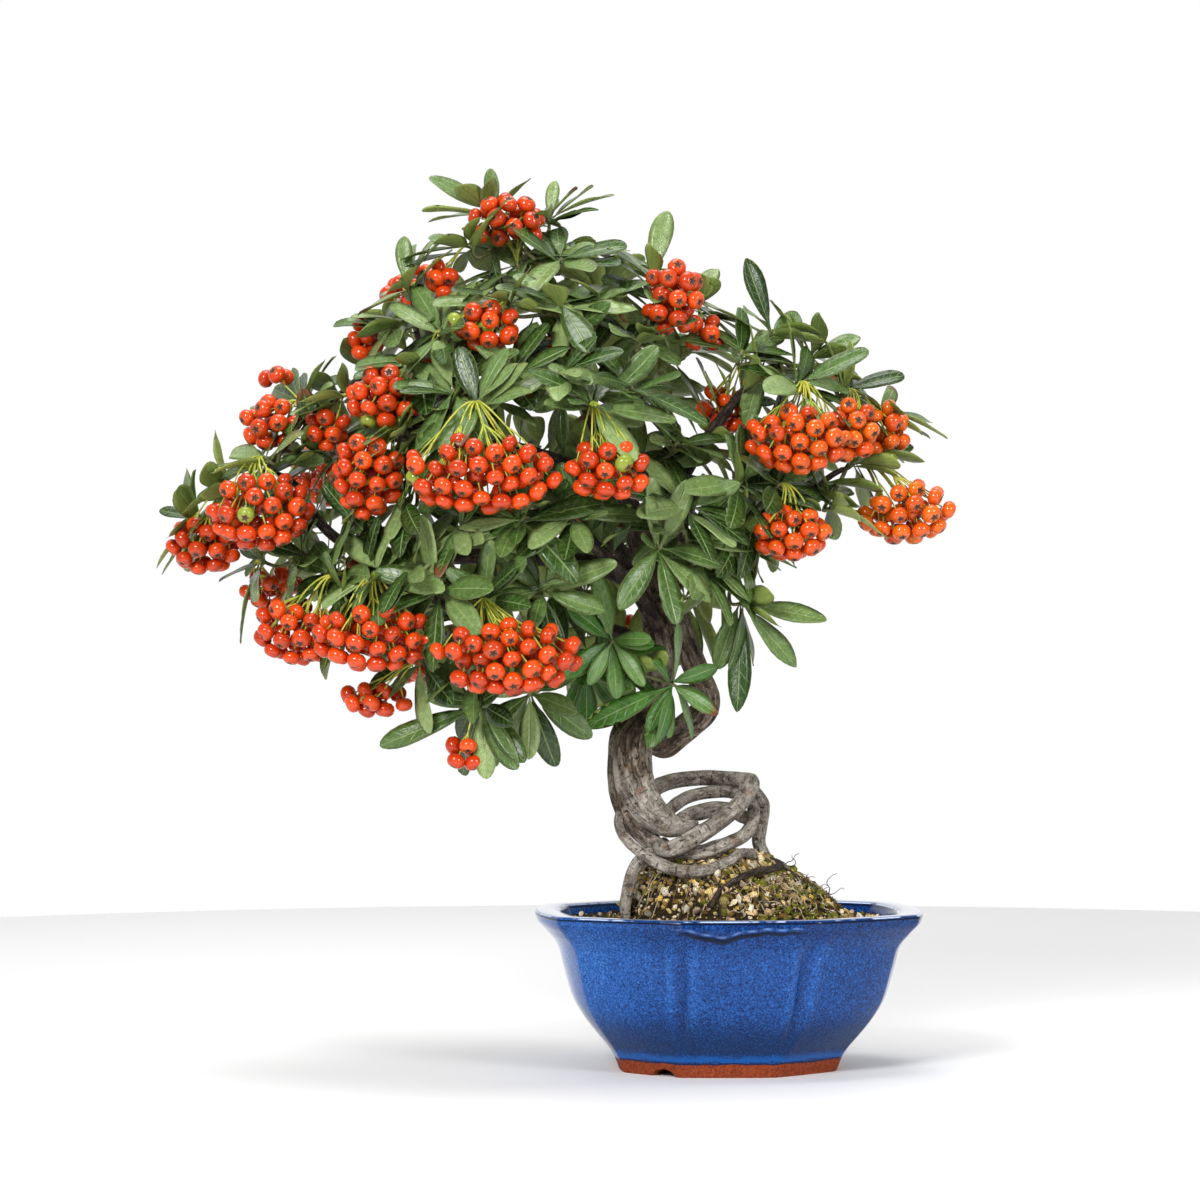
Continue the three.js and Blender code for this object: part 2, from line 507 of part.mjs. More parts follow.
// The faces of a core, turned and stretched to the shell of the bunch.
function coreFaces(middle, half, seed) {
  const shell = half.map((h) => Math.max(h - 4.6, 2.6));
  const mean = (shell[0] * shell[1] + shell[1] * shell[2] + shell[0] * shell[2]) / 3;
  const wanted = 4 * Math.PI * mean / AREA_OF_A_BERRY;
  const kind = wanted < 6 ? 0 : wanted < 13 ? 1 : wanted < 27 ? 2 : 3;
  const rnd = seeded(seed);
  const turned = CORES[kind].clone();
  turned.deleteAttribute('normal');
  turned.deleteAttribute('uv');
  turned.rotateX(rnd() * 6).rotateY(rnd() * 6).rotateZ(rnd() * 6);
  turned.scale(...shell).translate(middle.x, middle.y, middle.z);
  const merged = mergeVertices(turned, 1e-4);
  const place = merged.attributes.position;
  const points = [];
  for (let i = 0; i < place.count; i += 1) points.push(new THREE.Vector3().fromBufferAttribute(place, i));
  const order = merged.index ? [...merged.index.array] : points.map((_, i) => i);
  const faces = [];
  for (let i = 0; i < order.length; i += 3) faces.push(order.slice(i, i + 3));
  return { points, faces };
}

// Where the twelve corners of a berry lie when it sits with a face down on a face of the core: the three
// lowest are the corners of that face itself.
const ICO_TOP = 0.795;
const ICO_TOP_RING = 0.607;
const ICO_BELT = 0.188;
const ICO_BELT_RING = 0.982;
function berryCorners(a, b, c) {
  const foot = a.clone().add(b).add(c).divideScalar(3);
  const up = b.clone().sub(a).cross(c.clone().sub(a)).normalize();
  const side = a.clone().sub(foot).addScaledVector(up, -a.clone().sub(foot).dot(up)).normalize();
  const other = up.clone().cross(side);
  const centre = foot.clone().addScaledVector(up, 2.3);
  const at = (turn, ring, height) => centre.clone()
    .addScaledVector(side, BERRY_RADIUS * ring * Math.cos(turn))
    .addScaledVector(other, BERRY_RADIUS * ring * Math.sin(turn))
    .addScaledVector(up, BERRY_RADIUS * height);
  const third = 2 * Math.PI / 3;
  const low = [0, 1, 2].map((i) => at(i * third, ICO_BELT_RING, -ICO_BELT));
  const high = [0, 1, 2].map((i) => at((i + 0.5) * third, ICO_BELT_RING, ICO_BELT));
  const top = [0, 1, 2].map((i) => at((i + 0.5) * third, ICO_TOP_RING, ICO_TOP));
  return { centre, up, low, high, top };
}

// A bunch: the core with a berry raised on every face but the one toward the stalk.
function bunchGeometry(core, bare) {
  const points = core.points.map((p) => p.toArray());
  const faces = [];
  core.faces.forEach(([a, b, c], f) => {
    if (bare.has(f)) {
      faces.push([a, b, c]);
      return;
    }
    const { low, high, top } = berryCorners(core.points[a], core.points[b], core.points[c]);
    const n = points.length;
    points.push(...[...low, ...high, ...top].map((p) => p.toArray()));
    const corners = [a, b, c];
    for (let i = 0; i < 3; i += 1) {
      const j = (i + 1) % 3;
      const k = (i + 2) % 3;
      faces.push([corners[i], corners[j], n + 3 + i]);
      faces.push([corners[i], n + 3 + i, n + i]);
      faces.push([corners[i], n + i, n + 3 + k]);
      faces.push([n + i, n + 3 + i, n + 6 + i]);
      faces.push([n + i, n + 6 + i, n + 6 + k]);
      faces.push([n + i, n + 6 + k, n + 3 + k]);
    }
    faces.push([n + 6, n + 7, n + 8]);
  });
  return geometryOf(points, faces);
}

// Each bunch hangs by its stalk from just above a rosette. A face of the core stays bare where the stalk
// comes in, where berries would crowd, and where wood or another bunch is near.
const bunchSolids = [];
BUNCHES.forEach(([, middleRow, half, , fromRow], index) => {
  const middle = vector(middleRow);
  const anchor = vector(fromRow);
  const axis = growth(fromRow);
  const from = anchor.clone().addScaledVector(axis, GAP);
  const toStalk = anchor.clone().sub(middle).normalize();
  const others = [limbWood, ...bunchSolids];
  const core = coreFaces(middle, half, 40 + index);
  const seats = core.faces.map((face) => berryCorners(...face.map((corner) => core.points[corner])));
  const facing = seats.map((seat) => seat.up.dot(toStalk));
  const bare = new Set([facing.indexOf(Math.max(...facing))]);
  seats.forEach((seat, i) => {
    const crowded = seats.some((other, j) => j < i && !bare.has(j)
      && other.centre.distanceTo(seat.centre) < 1.95 * BERRY_RADIUS);
    const ball = new THREE.IcosahedronGeometry(BERRY_RADIUS + 0.5, 0).translate(...seat.centre.toArray());
    if (crowded || clashes(solidOf(ball), others)) bare.add(i);
  });
  const bend = from.clone().addScaledVector(axis, 0.4 * from.distanceTo(middle));
  const stalk = bentStem(from, bend, middle, STALK_RADIUS, 3);
  bunchSolids.push(mainBody(solidOf(bunchGeometry(core, bare)).add(stalk)));
});

// Hubs: where each spray leaves its twig, on the way from its rosettes to the nearest limb.
const hubs = [];
const woodParts = [limbWood];
for (const [, rosettes] of SPRAYS) {
  const mean = new THREE.Vector3();
  rosettes.forEach((row) => mean.addScaledVector(vector(row), 1 / rosettes.length));
  let nearest = null;
  for (const row of woodPoints) {
    const gap = mean.distanceTo(vector(row));
    if (nearest === null || gap < nearest.gap) nearest = { gap, row };
  }
  const start = vector(nearest.row);
  const hub = mean.clone().lerp(start, nearest.gap < 14 ? 0.55 : 0.4);
  start.addScaledVector(mean.sub(start).normalize(), -1.5);
  const along = hub.clone().sub(start);
  const direction = along.clone().normalize();
  let twig = null;
  let chosen = null;
  for (let attempt = 0; attempt < 40 && chosen === null; attempt += 1) {
    const rnd = seeded(500 + attempt);
    const shift = new THREE.Vector3(rnd() - 0.5, rnd() - 0.5, rnd() - 0.5).multiplyScalar(attempt * 0.9);
    const end = hub.clone().add(shift);
    const sag = (1 - attempt % 3) * 0.12 * start.distanceTo(end);
    const bend = start.clone().lerp(end, 0.5).addScaledVector(UP, sag);
    if (!clashes(bentStem(start, bend, end, TWIG_RADIUS, 3, 0.35), bunchSolids)) {
      chosen = end;
      twig = bentStem(start, bend, end, TWIG_RADIUS, 3);
      direction.copy(end).sub(bend).normalize();
    }
  }
  if (chosen === null) throw new Error('a twig found no clear way');
  woodParts.push(twig);
  hubs.push({ end: chosen, direction });
}
const wood = mainBody(wasm.Manifold.union(woodParts), WOOD_SLIVER);

// One leaf: a narrow blade widest past its middle, folded along the midrib and bent back at the tip. Its
// sections run from the foot, a ring of four points, to the tip.
const LEAF_STATIONS = [[0.46, 0.8], [0.83, 0.92]];
function leafSections(base, blade, grow = 0) {
  const t = blade.along.clone().normalize();
  const n = blade.upper.clone().addScaledVector(t, -blade.upper.dot(t)).normalize();
  const s = t.clone().cross(n);
  const at = (u, side, height) => base.clone()
    .addScaledVector(t, u * blade.length)
    .addScaledVector(s, side)
    .addScaledVector(n, height - blade.curl * blade.length * u * u)
    .toArray();
  const rings = LEAF_STATIONS.map(([u, w]) => {
    const half = w * blade.halfWidth + grow;
    return [
      at(u, 0, 0.4 * LEAF_THICKNESS + grow), at(u, half, 0.24 * half),
      at(u, 0, -0.6 * LEAF_THICKNESS - grow), at(u, -half, 0.24 * half),
    ];
  });
  return { rings, tip: at(1, 0, 0), foot: at(0.1, 0, 0) };
}

// The blade alone, from a little way out of the stem, to test for room.
function leafBody(base, blade, grow) {
  const { rings, tip, foot } = leafSections(base, blade, grow);
  const points = [foot, ...rings.flat(), tip];
  const faces = [];
  for (let i = 0; i < 4; i += 1) {
    const j = (i + 1) % 4;
    faces.push([0, 1 + j, 1 + i], [5 + i, 5 + j, 9], [1 + i, 1 + j, 5 + j], [1 + i, 5 + j, 5 + i]);
  }
  return solidOf(geometryOf(points, faces));
}

// The leaves of a rosette stand round its axis, each a golden angle on from the last, the upper face toward
// the axis and the sky.
function rosetteLeaves(axis, index, count) {
  const rnd = seeded(1000 + 17 * index);
  const side = new THREE.Vector3(0.37, -0.61, 0.2).cross(axis).normalize();
  const other = axis.clone().cross(side);
  const leaves = [];
  for (let k = 0; k < count; k += 1) {
    const turn = k * 2.399963 + 0.6 * rnd() + index;
    const spread = (0.35 + k * 0.618034) % 1;
    const open = (38 + 50 * spread + 8 * (rnd() - 0.5)) * Math.PI / 180;
    const along = axis.clone().multiplyScalar(Math.cos(open))
      .addScaledVector(side, Math.sin(open) * Math.cos(turn))
      .addScaledVector(other, Math.sin(open) * Math.sin(turn))
      .addScaledVector(UP, -0.12)
      .normalize();
    const length = 19.5 + 7 * spread + 4 * rnd();
    const upper = axis.clone().multiplyScalar(0.6).addScaledVector(UP, 0.7);
    leaves.push({ along, upper, length, halfWidth: 0.165 * length, curl: 0.08 + 0.14 * rnd() });
  }
  return leaves;
}

// A growing spray: its points, its finished faces, and the four-cornered sides that a leaf or a further
// stem can still grow out of.
function newSpray() {
  return { points: [], faces: [], sides: [] };
}

// Square rings along a smooth path; the last two lengths are short and straight.
function stemRings(from, leave, tip, axis, grow = 0) {
  const start = tip.clone().addScaledVector(axis, -3.6);
  const reach = from.distanceTo(start);
  const curve = new THREE.CubicBezierCurve3(
    from,
    from.clone().addScaledVector(leave, 0.35 * reach),
    start.clone().addScaledVector(axis, -0.35 * reach),
    start,
  );
  const stops = (reach < 15 ? [0, 1] : [0, 0.5, 1]).map((t) => [curve.getPoint(t), curve.getTangent(t)]);
  stops.push([start.clone().addScaledVector(axis, 1.8), axis], [tip, axis]);
  let side = new THREE.Vector3(0.31, 0.17, 0.93).cross(stops[0][1]);
  return stops.map(([centre, along]) => {
    side = side.clone().addScaledVector(along, -side.dot(along)).normalize();
    const other = along.clone().cross(side);
    const radius = STEM_RADIUS + grow;
    return [0, 1, 2, 3].map((i) => centre.clone()
      .addScaledVector(side, Math.cos(i * Math.PI / 2) * radius)
      .addScaledVector(other, Math.sin(i * Math.PI / 2) * radius)
      .toArray());
  });
}

// Grows a tube of square rings out of four corners, and returns its new sides, length by length.
function growTube(spray, corners, rings) {
  const miss = (turn) => corners.reduce((sum, corner, m) => sum
    + vector(spray.points[corner]).distanceTo(vector(rings[0][(m + turn) % 4])), 0);
  const turn = [0, 1, 2, 3].reduce((best, k) => (miss(k) < miss(best) ? k : best), 0);
  let ring = corners;
  const grown = [];
  for (const next of rings) {
    const n = spray.points.length;
    spray.points.push(...next.map((_, m) => next[(m + turn) % 4]));
    const upper = [n, n + 1, n + 2, n + 3];
    const lower = ring;
    const length = [0, 1, 2, 3].map((m) => {
      const side = { corners: [lower[m], lower[(m + 1) % 4], upper[(m + 1) % 4], upper[m]], taken: false };
      spray.sides.push(side);
      return side;
    });
    grown.push(length);
    ring = upper;
  }
  return { grown, end: ring };
}

const middleOf = (spray, side) => side.corners
  .reduce((sum, corner) => sum.add(vector(spray.points[corner])), new THREE.Vector3()).divideScalar(4);

function outwardOf(spray, side) {
  const [a, b, c, d] = side.corners.map((corner) => vector(spray.points[corner]));
  return c.sub(a).cross(d.sub(b)).normalize();
}

// The free side that faces a direction best.
function freeSide(spray, sides, toward) {
  const free = sides.filter((side) => !side.taken);
  const facing = (side) => outwardOf(spray, side).dot(toward(middleOf(spray, side)));
  return free.sort((p, q) => facing(q) - facing(p))[0];
}

// The same tube as a solid of its own, closed at both ends, to test for room.
function tubeBody(spray, side, rings, tip = null) {
  const alone = newSpray();
  alone.points.push(...side.corners.map((corner) => spray.points[corner]));
  alone.faces.push([0, 3, 2], [0, 2, 1]);
  const { end } = growTube(alone, [0, 1, 2, 3], rings);
  if (tip === null) {
    alone.faces.push([end[0], end[1], end[2]], [end[0], end[2], end[3]]);
  } else {
    alone.points.push(tip);
    const last = alone.points.length - 1;
    for (let m = 0; m < 4; m += 1) alone.faces.push([end[m], end[(m + 1) % 4], last]);
  }
  return finishSpray(alone);
}

function growLeaf(spray, side, sections) {
  side.taken = true;
  const { end } = growTube(spray, side.corners, sections.rings);
  spray.points.push(sections.tip);
  const tip = spray.points.length - 1;
  for (let m = 0; m < 4; m += 1) spray.faces.push([end[m], end[(m + 1) % 4], tip]);
}

function finishSpray(spray) {
  const faces = [...spray.faces];
  for (const { corners: [a, b, c, d], taken } of spray.sides) {
    if (!taken) faces.push([a, b, c], [a, c, d]);
  }
  return solidOf(geometryOf(spray.points, faces));
}

// One of many directions, the same for the same index.
const anySide = (index) => new THREE.Vector3().copy({
  x: seeded(index)() - 0.5, y: seeded(index + 100)() - 0.5, z: seeded(index + 200)() - 0.5,
});

// Leaf for a place: either on its way to a goal or by the rule of the rosette, turned a little more on
// each attempt.
function bladeFrom(blade, base, axis, attempt) {
  const shape = { ...blade };
  if (blade.goal) {
    shape.along = blade.goal.clone().sub(base);
    shape.length = shape.along.length();
    shape.upper = axis.clone().multiplyScalar(0.5).addScaledVector(UP, 0.8);
    shape.halfWidth = Math.min(0.165 * shape.length, 5);
    shape.curl = 0.05;
  }
  shape.along = shape.along.clone().normalize().addScaledVector(anySide(70 + attempt), 0.2 * attempt);
  shape.length *= attempt > 5 ? 0.85 : 1;
  return shape;
}

// Each spray starts just past the end of its twig. Its first stem leads to the first rosette, the others
// branch off the lengths below; a leaf grows out of a free side near the tip of its stem.
const spraySolids = [];
let rosetteIndex = 0;
SPRAYS.forEach(([name, rosettes, reaching], sprayIndex) => {
  const { end, direction } = hubs[sprayIndex];
  const others = [wood, ...bunchSolids, ...spraySolids];
  const spray = newSpray();
  const stems = [];
  rosettes.forEach((row, r) => {
    const tip = vector(row);
    const axis = growth(row);
    const bodies = stems.map((stem) => stem.body);
    for (let attempt = 0; attempt < 60; attempt += 1) {
      const wander = anySide(900 + attempt).multiplyScalar(attempt * 0.06);
      let from = end.clone().addScaledVector(direction, 1.6 * GAP);
      let leave = direction.clone().add(wander).normalize();
      let side = null;
      if (stems.length > 0) {
        const lower = stems[attempt % stems.length].grown.slice(0, 2).flat();
        side = freeSide(spray, lower, (middle) => tip.clone().sub(middle).normalize().add(wander));
        if (side === undefined) continue;
        from = middleOf(spray, side);
        leave = outwardOf(spray, side).add(tip.clone().sub(from).normalize()).normalize();
      }
      const wide = stemRings(from, leave, tip, axis, 0.3);
      const rings = stemRings(from, leave, tip, axis);
      if (stems.length > 0) {
        const room = solidOf(ringSurface(wide.slice(1), false));
        if (clashes(room, [...others, ...bodies])) continue;
        if (clashes(tubeBody(spray, side, wide.slice(1)), others)) continue;
        if (clashes(tubeBody(spray, side, rings.slice(1)), others)) continue;
        side.taken = true;
        const { grown, end: cap } = growTube(spray, side.corners, rings.slice(1));
        spray.faces.push([cap[0], cap[1], cap[2]], [cap[0], cap[2], cap[3]]);
        stems.push({ r, tip, axis, grown, body: solidOf(ringSurface(rings.slice(1), false)) });
      } else {
        if (clashes(solidOf(ringSurface(wide, false)), others)) continue;
        if (clashes(solidOf(ringSurface(rings, false)), others)) continue;
        spray.points.push(...rings[0]);
        spray.faces.push([0, 3, 2], [0, 2, 1]);
        const { grown, end: cap } = growTube(spray, [0, 1, 2, 3], rings.slice(1));
        spray.faces.push([cap[0], cap[1], cap[2]], [cap[0], cap[2], cap[3]]);
        stems.push({ r, tip, axis, grown, body: solidOf(ringSurface(rings, false)) });
      }
      return;
    }
    throw new Error(`rosette ${r} of ${name} found no clear stem`);
  });
  const blades = [];
  for (const { r, tip, axis, grown, body } of stems) {
    const wanted = reaching.filter(([which]) => which === r).map(([, goal]) => ({ goal: vector(goal) }));
    const count = Math.max(1, LEAVES_OF_A_ROSETTE - wanted.length);
    const ordinary = rosetteLeaves(axis, rosetteIndex + r, count);
    const otherStems = stems.filter((stem) => stem.r !== r).map((stem) => stem.body);
    for (const blade of [...wanted, ...ordinary]) {
      const side = freeSide(spray, grown.slice(-2).flat(), (middle) => (
        blade.goal ? blade.goal.clone().sub(middle).normalize() : blade.along.clone()));
      if (side === undefined) continue;
      const base = middleOf(spray, side);
      for (let attempt = 0; attempt < 8; attempt += 1) {
        const shape = bladeFrom(blade, base, axis, attempt);
        if (clashes(leafBody(base, shape, 0.2), [...blades, ...otherStems, body])) continue;
        const room = leafSections(base, shape, 0.2);
        const sections = leafSections(base, shape);
        if (clashes(tubeBody(spray, side, room.rings, room.tip), others)) continue;
        if (clashes(tubeBody(spray, side, sections.rings, sections.tip), others)) continue;
        growLeaf(spray, side, sections);
        blades.push(leafBody(base, shape, 0.05));
        break;
      }
    }
  }
  rosetteIndex += rosettes.length;
  spraySolids.push(finishSpray(spray));
});

// The object, its origin under the middle of its bounding box

const bonsai = new THREE.Group();
bonsai.name = 'pyracantha_bonsai';
bonsai.add(meshOf('pot', pot, glaze));
bonsai.add(meshOf('drain_screen', screenPlate(), plastic));
bonsai.add(meshOf('soil', soil, earth));
bonsai.add(meshOf('wood', wood, bark));
SPRAYS.forEach(([name], i) => bonsai.add(meshOf(`leaves_${name}`, spraySolids[i], foliage)));
BUNCHES.forEach(([name], i) => bonsai.add(meshOf(`berries_${name}`, bunchSolids[i], fruit)));

const bounds = new THREE.Box3().setFromObject(bonsai);
bonsai.position.set(-(bounds.min.x + bounds.max.x) / 2, -(bounds.min.y + bounds.max.y) / 2, -bounds.min.z);
bonsai.updateMatrixWorld(true);

export default bonsai;
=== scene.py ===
"""A pyracantha bonsai in a glazed pot: the pot, its soil, the wood, the leafy sprays and the berry bunches,
made in the order in which the real one is put together. Shapes are worked out in millimetres from the
middle of the pot's foot."""

import math

import bpy
import numpy as np
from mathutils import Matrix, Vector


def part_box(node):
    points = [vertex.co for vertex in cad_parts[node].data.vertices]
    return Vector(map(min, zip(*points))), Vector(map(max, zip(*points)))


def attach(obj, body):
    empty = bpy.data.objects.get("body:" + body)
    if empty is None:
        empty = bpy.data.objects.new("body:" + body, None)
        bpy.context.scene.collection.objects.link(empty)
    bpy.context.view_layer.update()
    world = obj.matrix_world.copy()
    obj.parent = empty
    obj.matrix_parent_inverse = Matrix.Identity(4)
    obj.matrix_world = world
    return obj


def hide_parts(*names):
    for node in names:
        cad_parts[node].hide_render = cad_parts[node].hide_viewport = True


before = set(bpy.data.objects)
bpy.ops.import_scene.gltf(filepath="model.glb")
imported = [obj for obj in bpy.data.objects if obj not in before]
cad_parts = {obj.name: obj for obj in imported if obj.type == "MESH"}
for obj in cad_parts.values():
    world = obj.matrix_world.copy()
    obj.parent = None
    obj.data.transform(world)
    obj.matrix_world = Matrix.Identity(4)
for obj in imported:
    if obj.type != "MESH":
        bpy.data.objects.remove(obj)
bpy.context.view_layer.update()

# Camera. The tree is looked at from 1.6 m away with a long lens, level, at a little more than half of its
# height.
pot_low, pot_high = (np.array(corner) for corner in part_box("pot"))
pot_foot = (pot_low + pot_high) / 2
pot_foot[2] = pot_low[2]
EYE = (-50, -1600, 182)
LENS = 123.06


def placed(points):
    """Millimetres from the middle of the pot's foot as metres in the frame of the whole: a thousandth,
    plus the foot's place."""
    return np.asarray(points, dtype=float) * 0.001 + pot_foot


camera_data = bpy.data.cameras.new("camera")
camera_data.lens = LENS
camera_data.sensor_width = 36
camera_data.clip_start = 0.05
camera = bpy.data.objects.new("camera", camera_data)
bpy.context.collection.objects.link(camera)
camera.location = placed(EYE)
camera.rotation_euler = (math.pi / 2, 0, 0)
bpy.context.scene.camera = camera

# Pot: thick stoneware with eight soft corners, a flared flat rim and shallow flutes, pressed in a mould.
# The glaze is poured on thick over the wall and rolls together under the rim; it stops short of the foot,
# which shows the bare clay with its two water notches.
FOOT_HALF_WIDTH = 43
RIM_HALF_WIDTH = 75.3
RIM_CORNERS = np.array([
    [72.5, -29], [66, 41], [20, 61], [-33, 56.5], [-72.5, 29], [-66, -41], [-20, -61], [33, -56.5],
])
FOOT_CORNERS = np.array([
    [41, -16], [41, 20], [19, 38.3], [-17, 37.7], [-41, 16], [-41, -20], [-19, -38.3], [17, -37.7],
])
RIM_SWELL = np.array([5.8, 1.6, 1.4, 1.6, 5.8, 1.6, 1.4, 1.6])
FOOT_SWELL = np.array([2, 0.8, 0.8, 0.8, 2, 0.8, 0.8, 0.8])
CORNERS = len(RIM_CORNERS)
GROOVED_CORNERS = (2, 3, 6, 7)
BULGE = 0.5
# The wall from the foot up, over the rim, down inside to the drain hole and under the floor back to the
# foot: rows of a height, a half width and a depth of flute.
OUTER_WALL = [
    [0, 42.6, 0], [5, 44.6, 0], [9.2, 47.4, 0.4], [14.4, 51.8, 1.4], [21, 56.9, 2.4],
    [28.5, 61, 2.8], [39.4, 64.2, 2.8], [48, 66.6, 2.2], [53.5, 70.8, 1], [57.2, 74.2, 0.3], [60, 75.3, 0],
]
RIM_TOP = [
    [60.6, 75.2, 0], [61.05, 74.9, 0], [61.35, 74.4, 0], [61.5, 73.6, 0], [61.5, 70, 0], [61.3, 66.4, 0],
    [60.9, 65.5, 0],
]
INNER_WALL = [[60, 65, 0], [48, 60.6, 1.4], [24, 53.4, 1.4], [9.5, 39, 0]]
DRAIN_ROWS = [[9.5, 43, 0], [4, 43, 0]]
UNDERSIDE_ROWS = [[4, 36, 0], [2, 36.4, 0], [0, 36.8, 0]]
DRAIN_RADIUS = 8
NOTCHES = ((-27, -35), (27, 35))
NOTCH_HEIGHT = 2.9
NOTCH_HALF_WIDTH = 5.2
GLAZE_LINE = 5.4
ROLL_HEIGHT = 57
ROLL_MIDDLE = -5
ROLL_ENDS = (-20, 26)
AROUND_POT = 400


def unit(vectors):
    return vectors / np.linalg.norm(vectors, axis=-1, keepdims=True)


def smooth_rows(rows, steps):
    """Rows of numbers made denser: a cubic through each four neighbours, whose slope at a row is half the
    difference of the rows on its two sides."""
    rows = np.asarray(rows, dtype=float)
    ends = np.vstack([2 * rows[0] - rows[1], rows, 2 * rows[-1] - rows[-2]])
    place = np.linspace(0, len(rows) - 1, steps)
    i = np.minimum(place.astype(int), len(rows) - 2)
    t = (place - i)[:, None]
    a, b, c, d = ends[i], ends[i + 1], ends[i + 2], ends[i + 3]
    return b + 0.5 * t * (c - a + t * (2 * a - 5 * b + 4 * c - d + t * (3 * (b - c) + d - a)))


def groove(step):
    """Depth of a flute at a share of an edge away from its corner: a narrow bell, less a lower one on each
    side of it, where the clay is pushed up into a shoulder."""
    return 0.7 * np.exp(-(step / 0.045) ** 2) - 0.3 * np.exp(-((step - 0.11) / 0.05) ** 2)


def pot_rings(rows, around):
    """One ring of points for each row of a height, a half width and a flute depth: straight edges between
    the eight corners, swollen by a parabola, with a narrow groove pressed in at the four front and back
    corners and a low bulge on all edges but the two end ones. The corners themselves lie between those of
    the foot and of the rim."""
    rows = np.asarray(rows, dtype=float)
    height, half_width, flute = (rows[:, k:k + 1] for k in range(3))
    flute = np.maximum(flute, 0)
    t = (np.maximum(half_width, FOOT_HALF_WIDTH) - FOOT_HALF_WIDTH) / (RIM_HALF_WIDTH - FOOT_HALF_WIDTH)
    shrink = np.minimum(1, half_width / FOOT_HALF_WIDTH)
    q = np.arange(around) * CORNERS / around
    edge = q.astype(int)
    step = q - edge
    following = (edge + 1) % CORNERS
    start, end = (
        FOOT_CORNERS[k] * (1 - t[..., None]) + RIM_CORNERS[k] * t[..., None] for k in (edge, following))
    along = end - start
    outward = unit(np.stack([along[..., 1], -along[..., 0]], axis=-1))
    swell = FOOT_SWELL[edge] * (1 - t) + RIM_SWELL[edge] * t
    bulged = (edge % 4 != 0) * BULGE * flute
    reach = (swell + bulged) * 4 * step * (1 - step)
    point = start + along * step[None, :, None] + outward * reach[..., None]
    folded = np.isin(edge, GROOVED_CORNERS) * groove(step)
    folded = folded + np.isin(following, GROOVED_CORNERS) * groove(1 - step)
    point = point - unit(point) * (flute * folded)[..., None]
    blunt = 0.5 * point + 0.25 * (np.roll(point, 1, axis=1) + np.roll(point, -1, axis=1))
    return np.dstack([blunt * shrink[..., None], np.repeat(height, around, axis=1)])


def glaze_roll(x, y, height):
    """The roll of glaze under the front of the rim: how far it stands out, and the painted shadow under it
    and the painted highlight on its crest. Its lower edge is a level line that sags by a bell in the middle
    and waves a little; a steep step of the height above that line lifts the ledge, which fades out toward
    the rim. The dark, a painted shadow, is a flat-topped bell of the height just below the line; the
    bright, a painted highlight, is a narrow one just above it."""
    edge = ROLL_HEIGHT - 2.9 * np.exp(-((x - ROLL_MIDDLE) / 8.5) ** 2) + 0.25 * np.sin(x * 0.6)
    above = height - edge
    left, right = ROLL_ENDS
    window = 1 / (1 + np.exp(-(x - left) / 1.2)) / (1 + np.exp((x - right) / 1.2)) * (y < -50)
    ledge = 1.2 * window / (1 + np.exp(-above / 0.22)) * np.clip((60.5 - height) / 3, 0, 1)
    line_width = 0.65 + 0.6 * np.exp(-((x - ROLL_MIDDLE) / 9) ** 2)
    dark = window * np.exp(-((above + 0.6) / line_width) ** 4)
    bright = window * np.exp(-((above - 1.2) / 0.35) ** 2) * (1 + np.sin(x * 1.1)) / 2
    return np.stack([ledge, dark, bright])


def painted_groove_light(height):
    """Painted light beside the four grooves: a painted highlight on the shoulder on each side of a groove,
    less a lower painted shade in it, faded out toward the foot and the rim."""
    q = np.arange(AROUND_POT) * CORNERS / AROUND_POT
    thin = np.zeros(AROUND_POT)
    for corner in GROOVED_CORNERS:
        away = np.abs((q - corner + CORNERS / 2) % CORNERS - CORNERS / 2)
        thin += np.exp(-((away - 0.1) / 0.04) ** 2) - 0.7 * np.exp(-(away / 0.035) ** 2)
    return thin * np.clip((height - 14) / 12, 0, 1) * np.clip((54 - height) / 6, 0, 1)


def ring_faces(rows, around, first=0, loop=False):
    """Quads of a grid whose rows close on themselves: each joins points i and i + 1 of one row with the
    same two of the next. With loop the last row is joined to the first."""
    i = np.arange(around)
    j = (i + 1) % around
    r = np.arange(rows if loop else rows - 1)
    lower = (r * around)[:, None] + first
    upper = ((r + 1) % rows * around)[:, None] + first
    return np.stack([lower + i, lower + j, upper + j, upper + i], axis=-1).reshape(-1, 4)


def piece(name, points, faces, materials, attributes=(), which=None, smooth=True):
    """A mesh object from points in millimetres, faces, and one value or vector per point for each
    attribute; which gives each face its material."""
    mesh = bpy.data.meshes.new(name)
    mesh.from_pydata(placed(points).tolist(), [], faces)
    mesh.polygons.foreach_set("use_smooth", np.full(len(mesh.polygons), smooth))
    for material in materials:
        mesh.materials.append(material)
    if which is not None:
        mesh.polygons.foreach_set("material_index", np.asarray(which, dtype=np.int32))
    for key, values in attributes:
        values = np.asarray(values, dtype=np.float32)
        kind, field = ("FLOAT", "value") if values.ndim == 1 else ("FLOAT_VECTOR", "vector")
        mesh.attributes.new(key, kind, "POINT").data.foreach_set(field, values.ravel())
    mesh.update()
    made = bpy.data.objects.new(name, mesh)
    bpy.context.collection.objects.link(made)
    return made


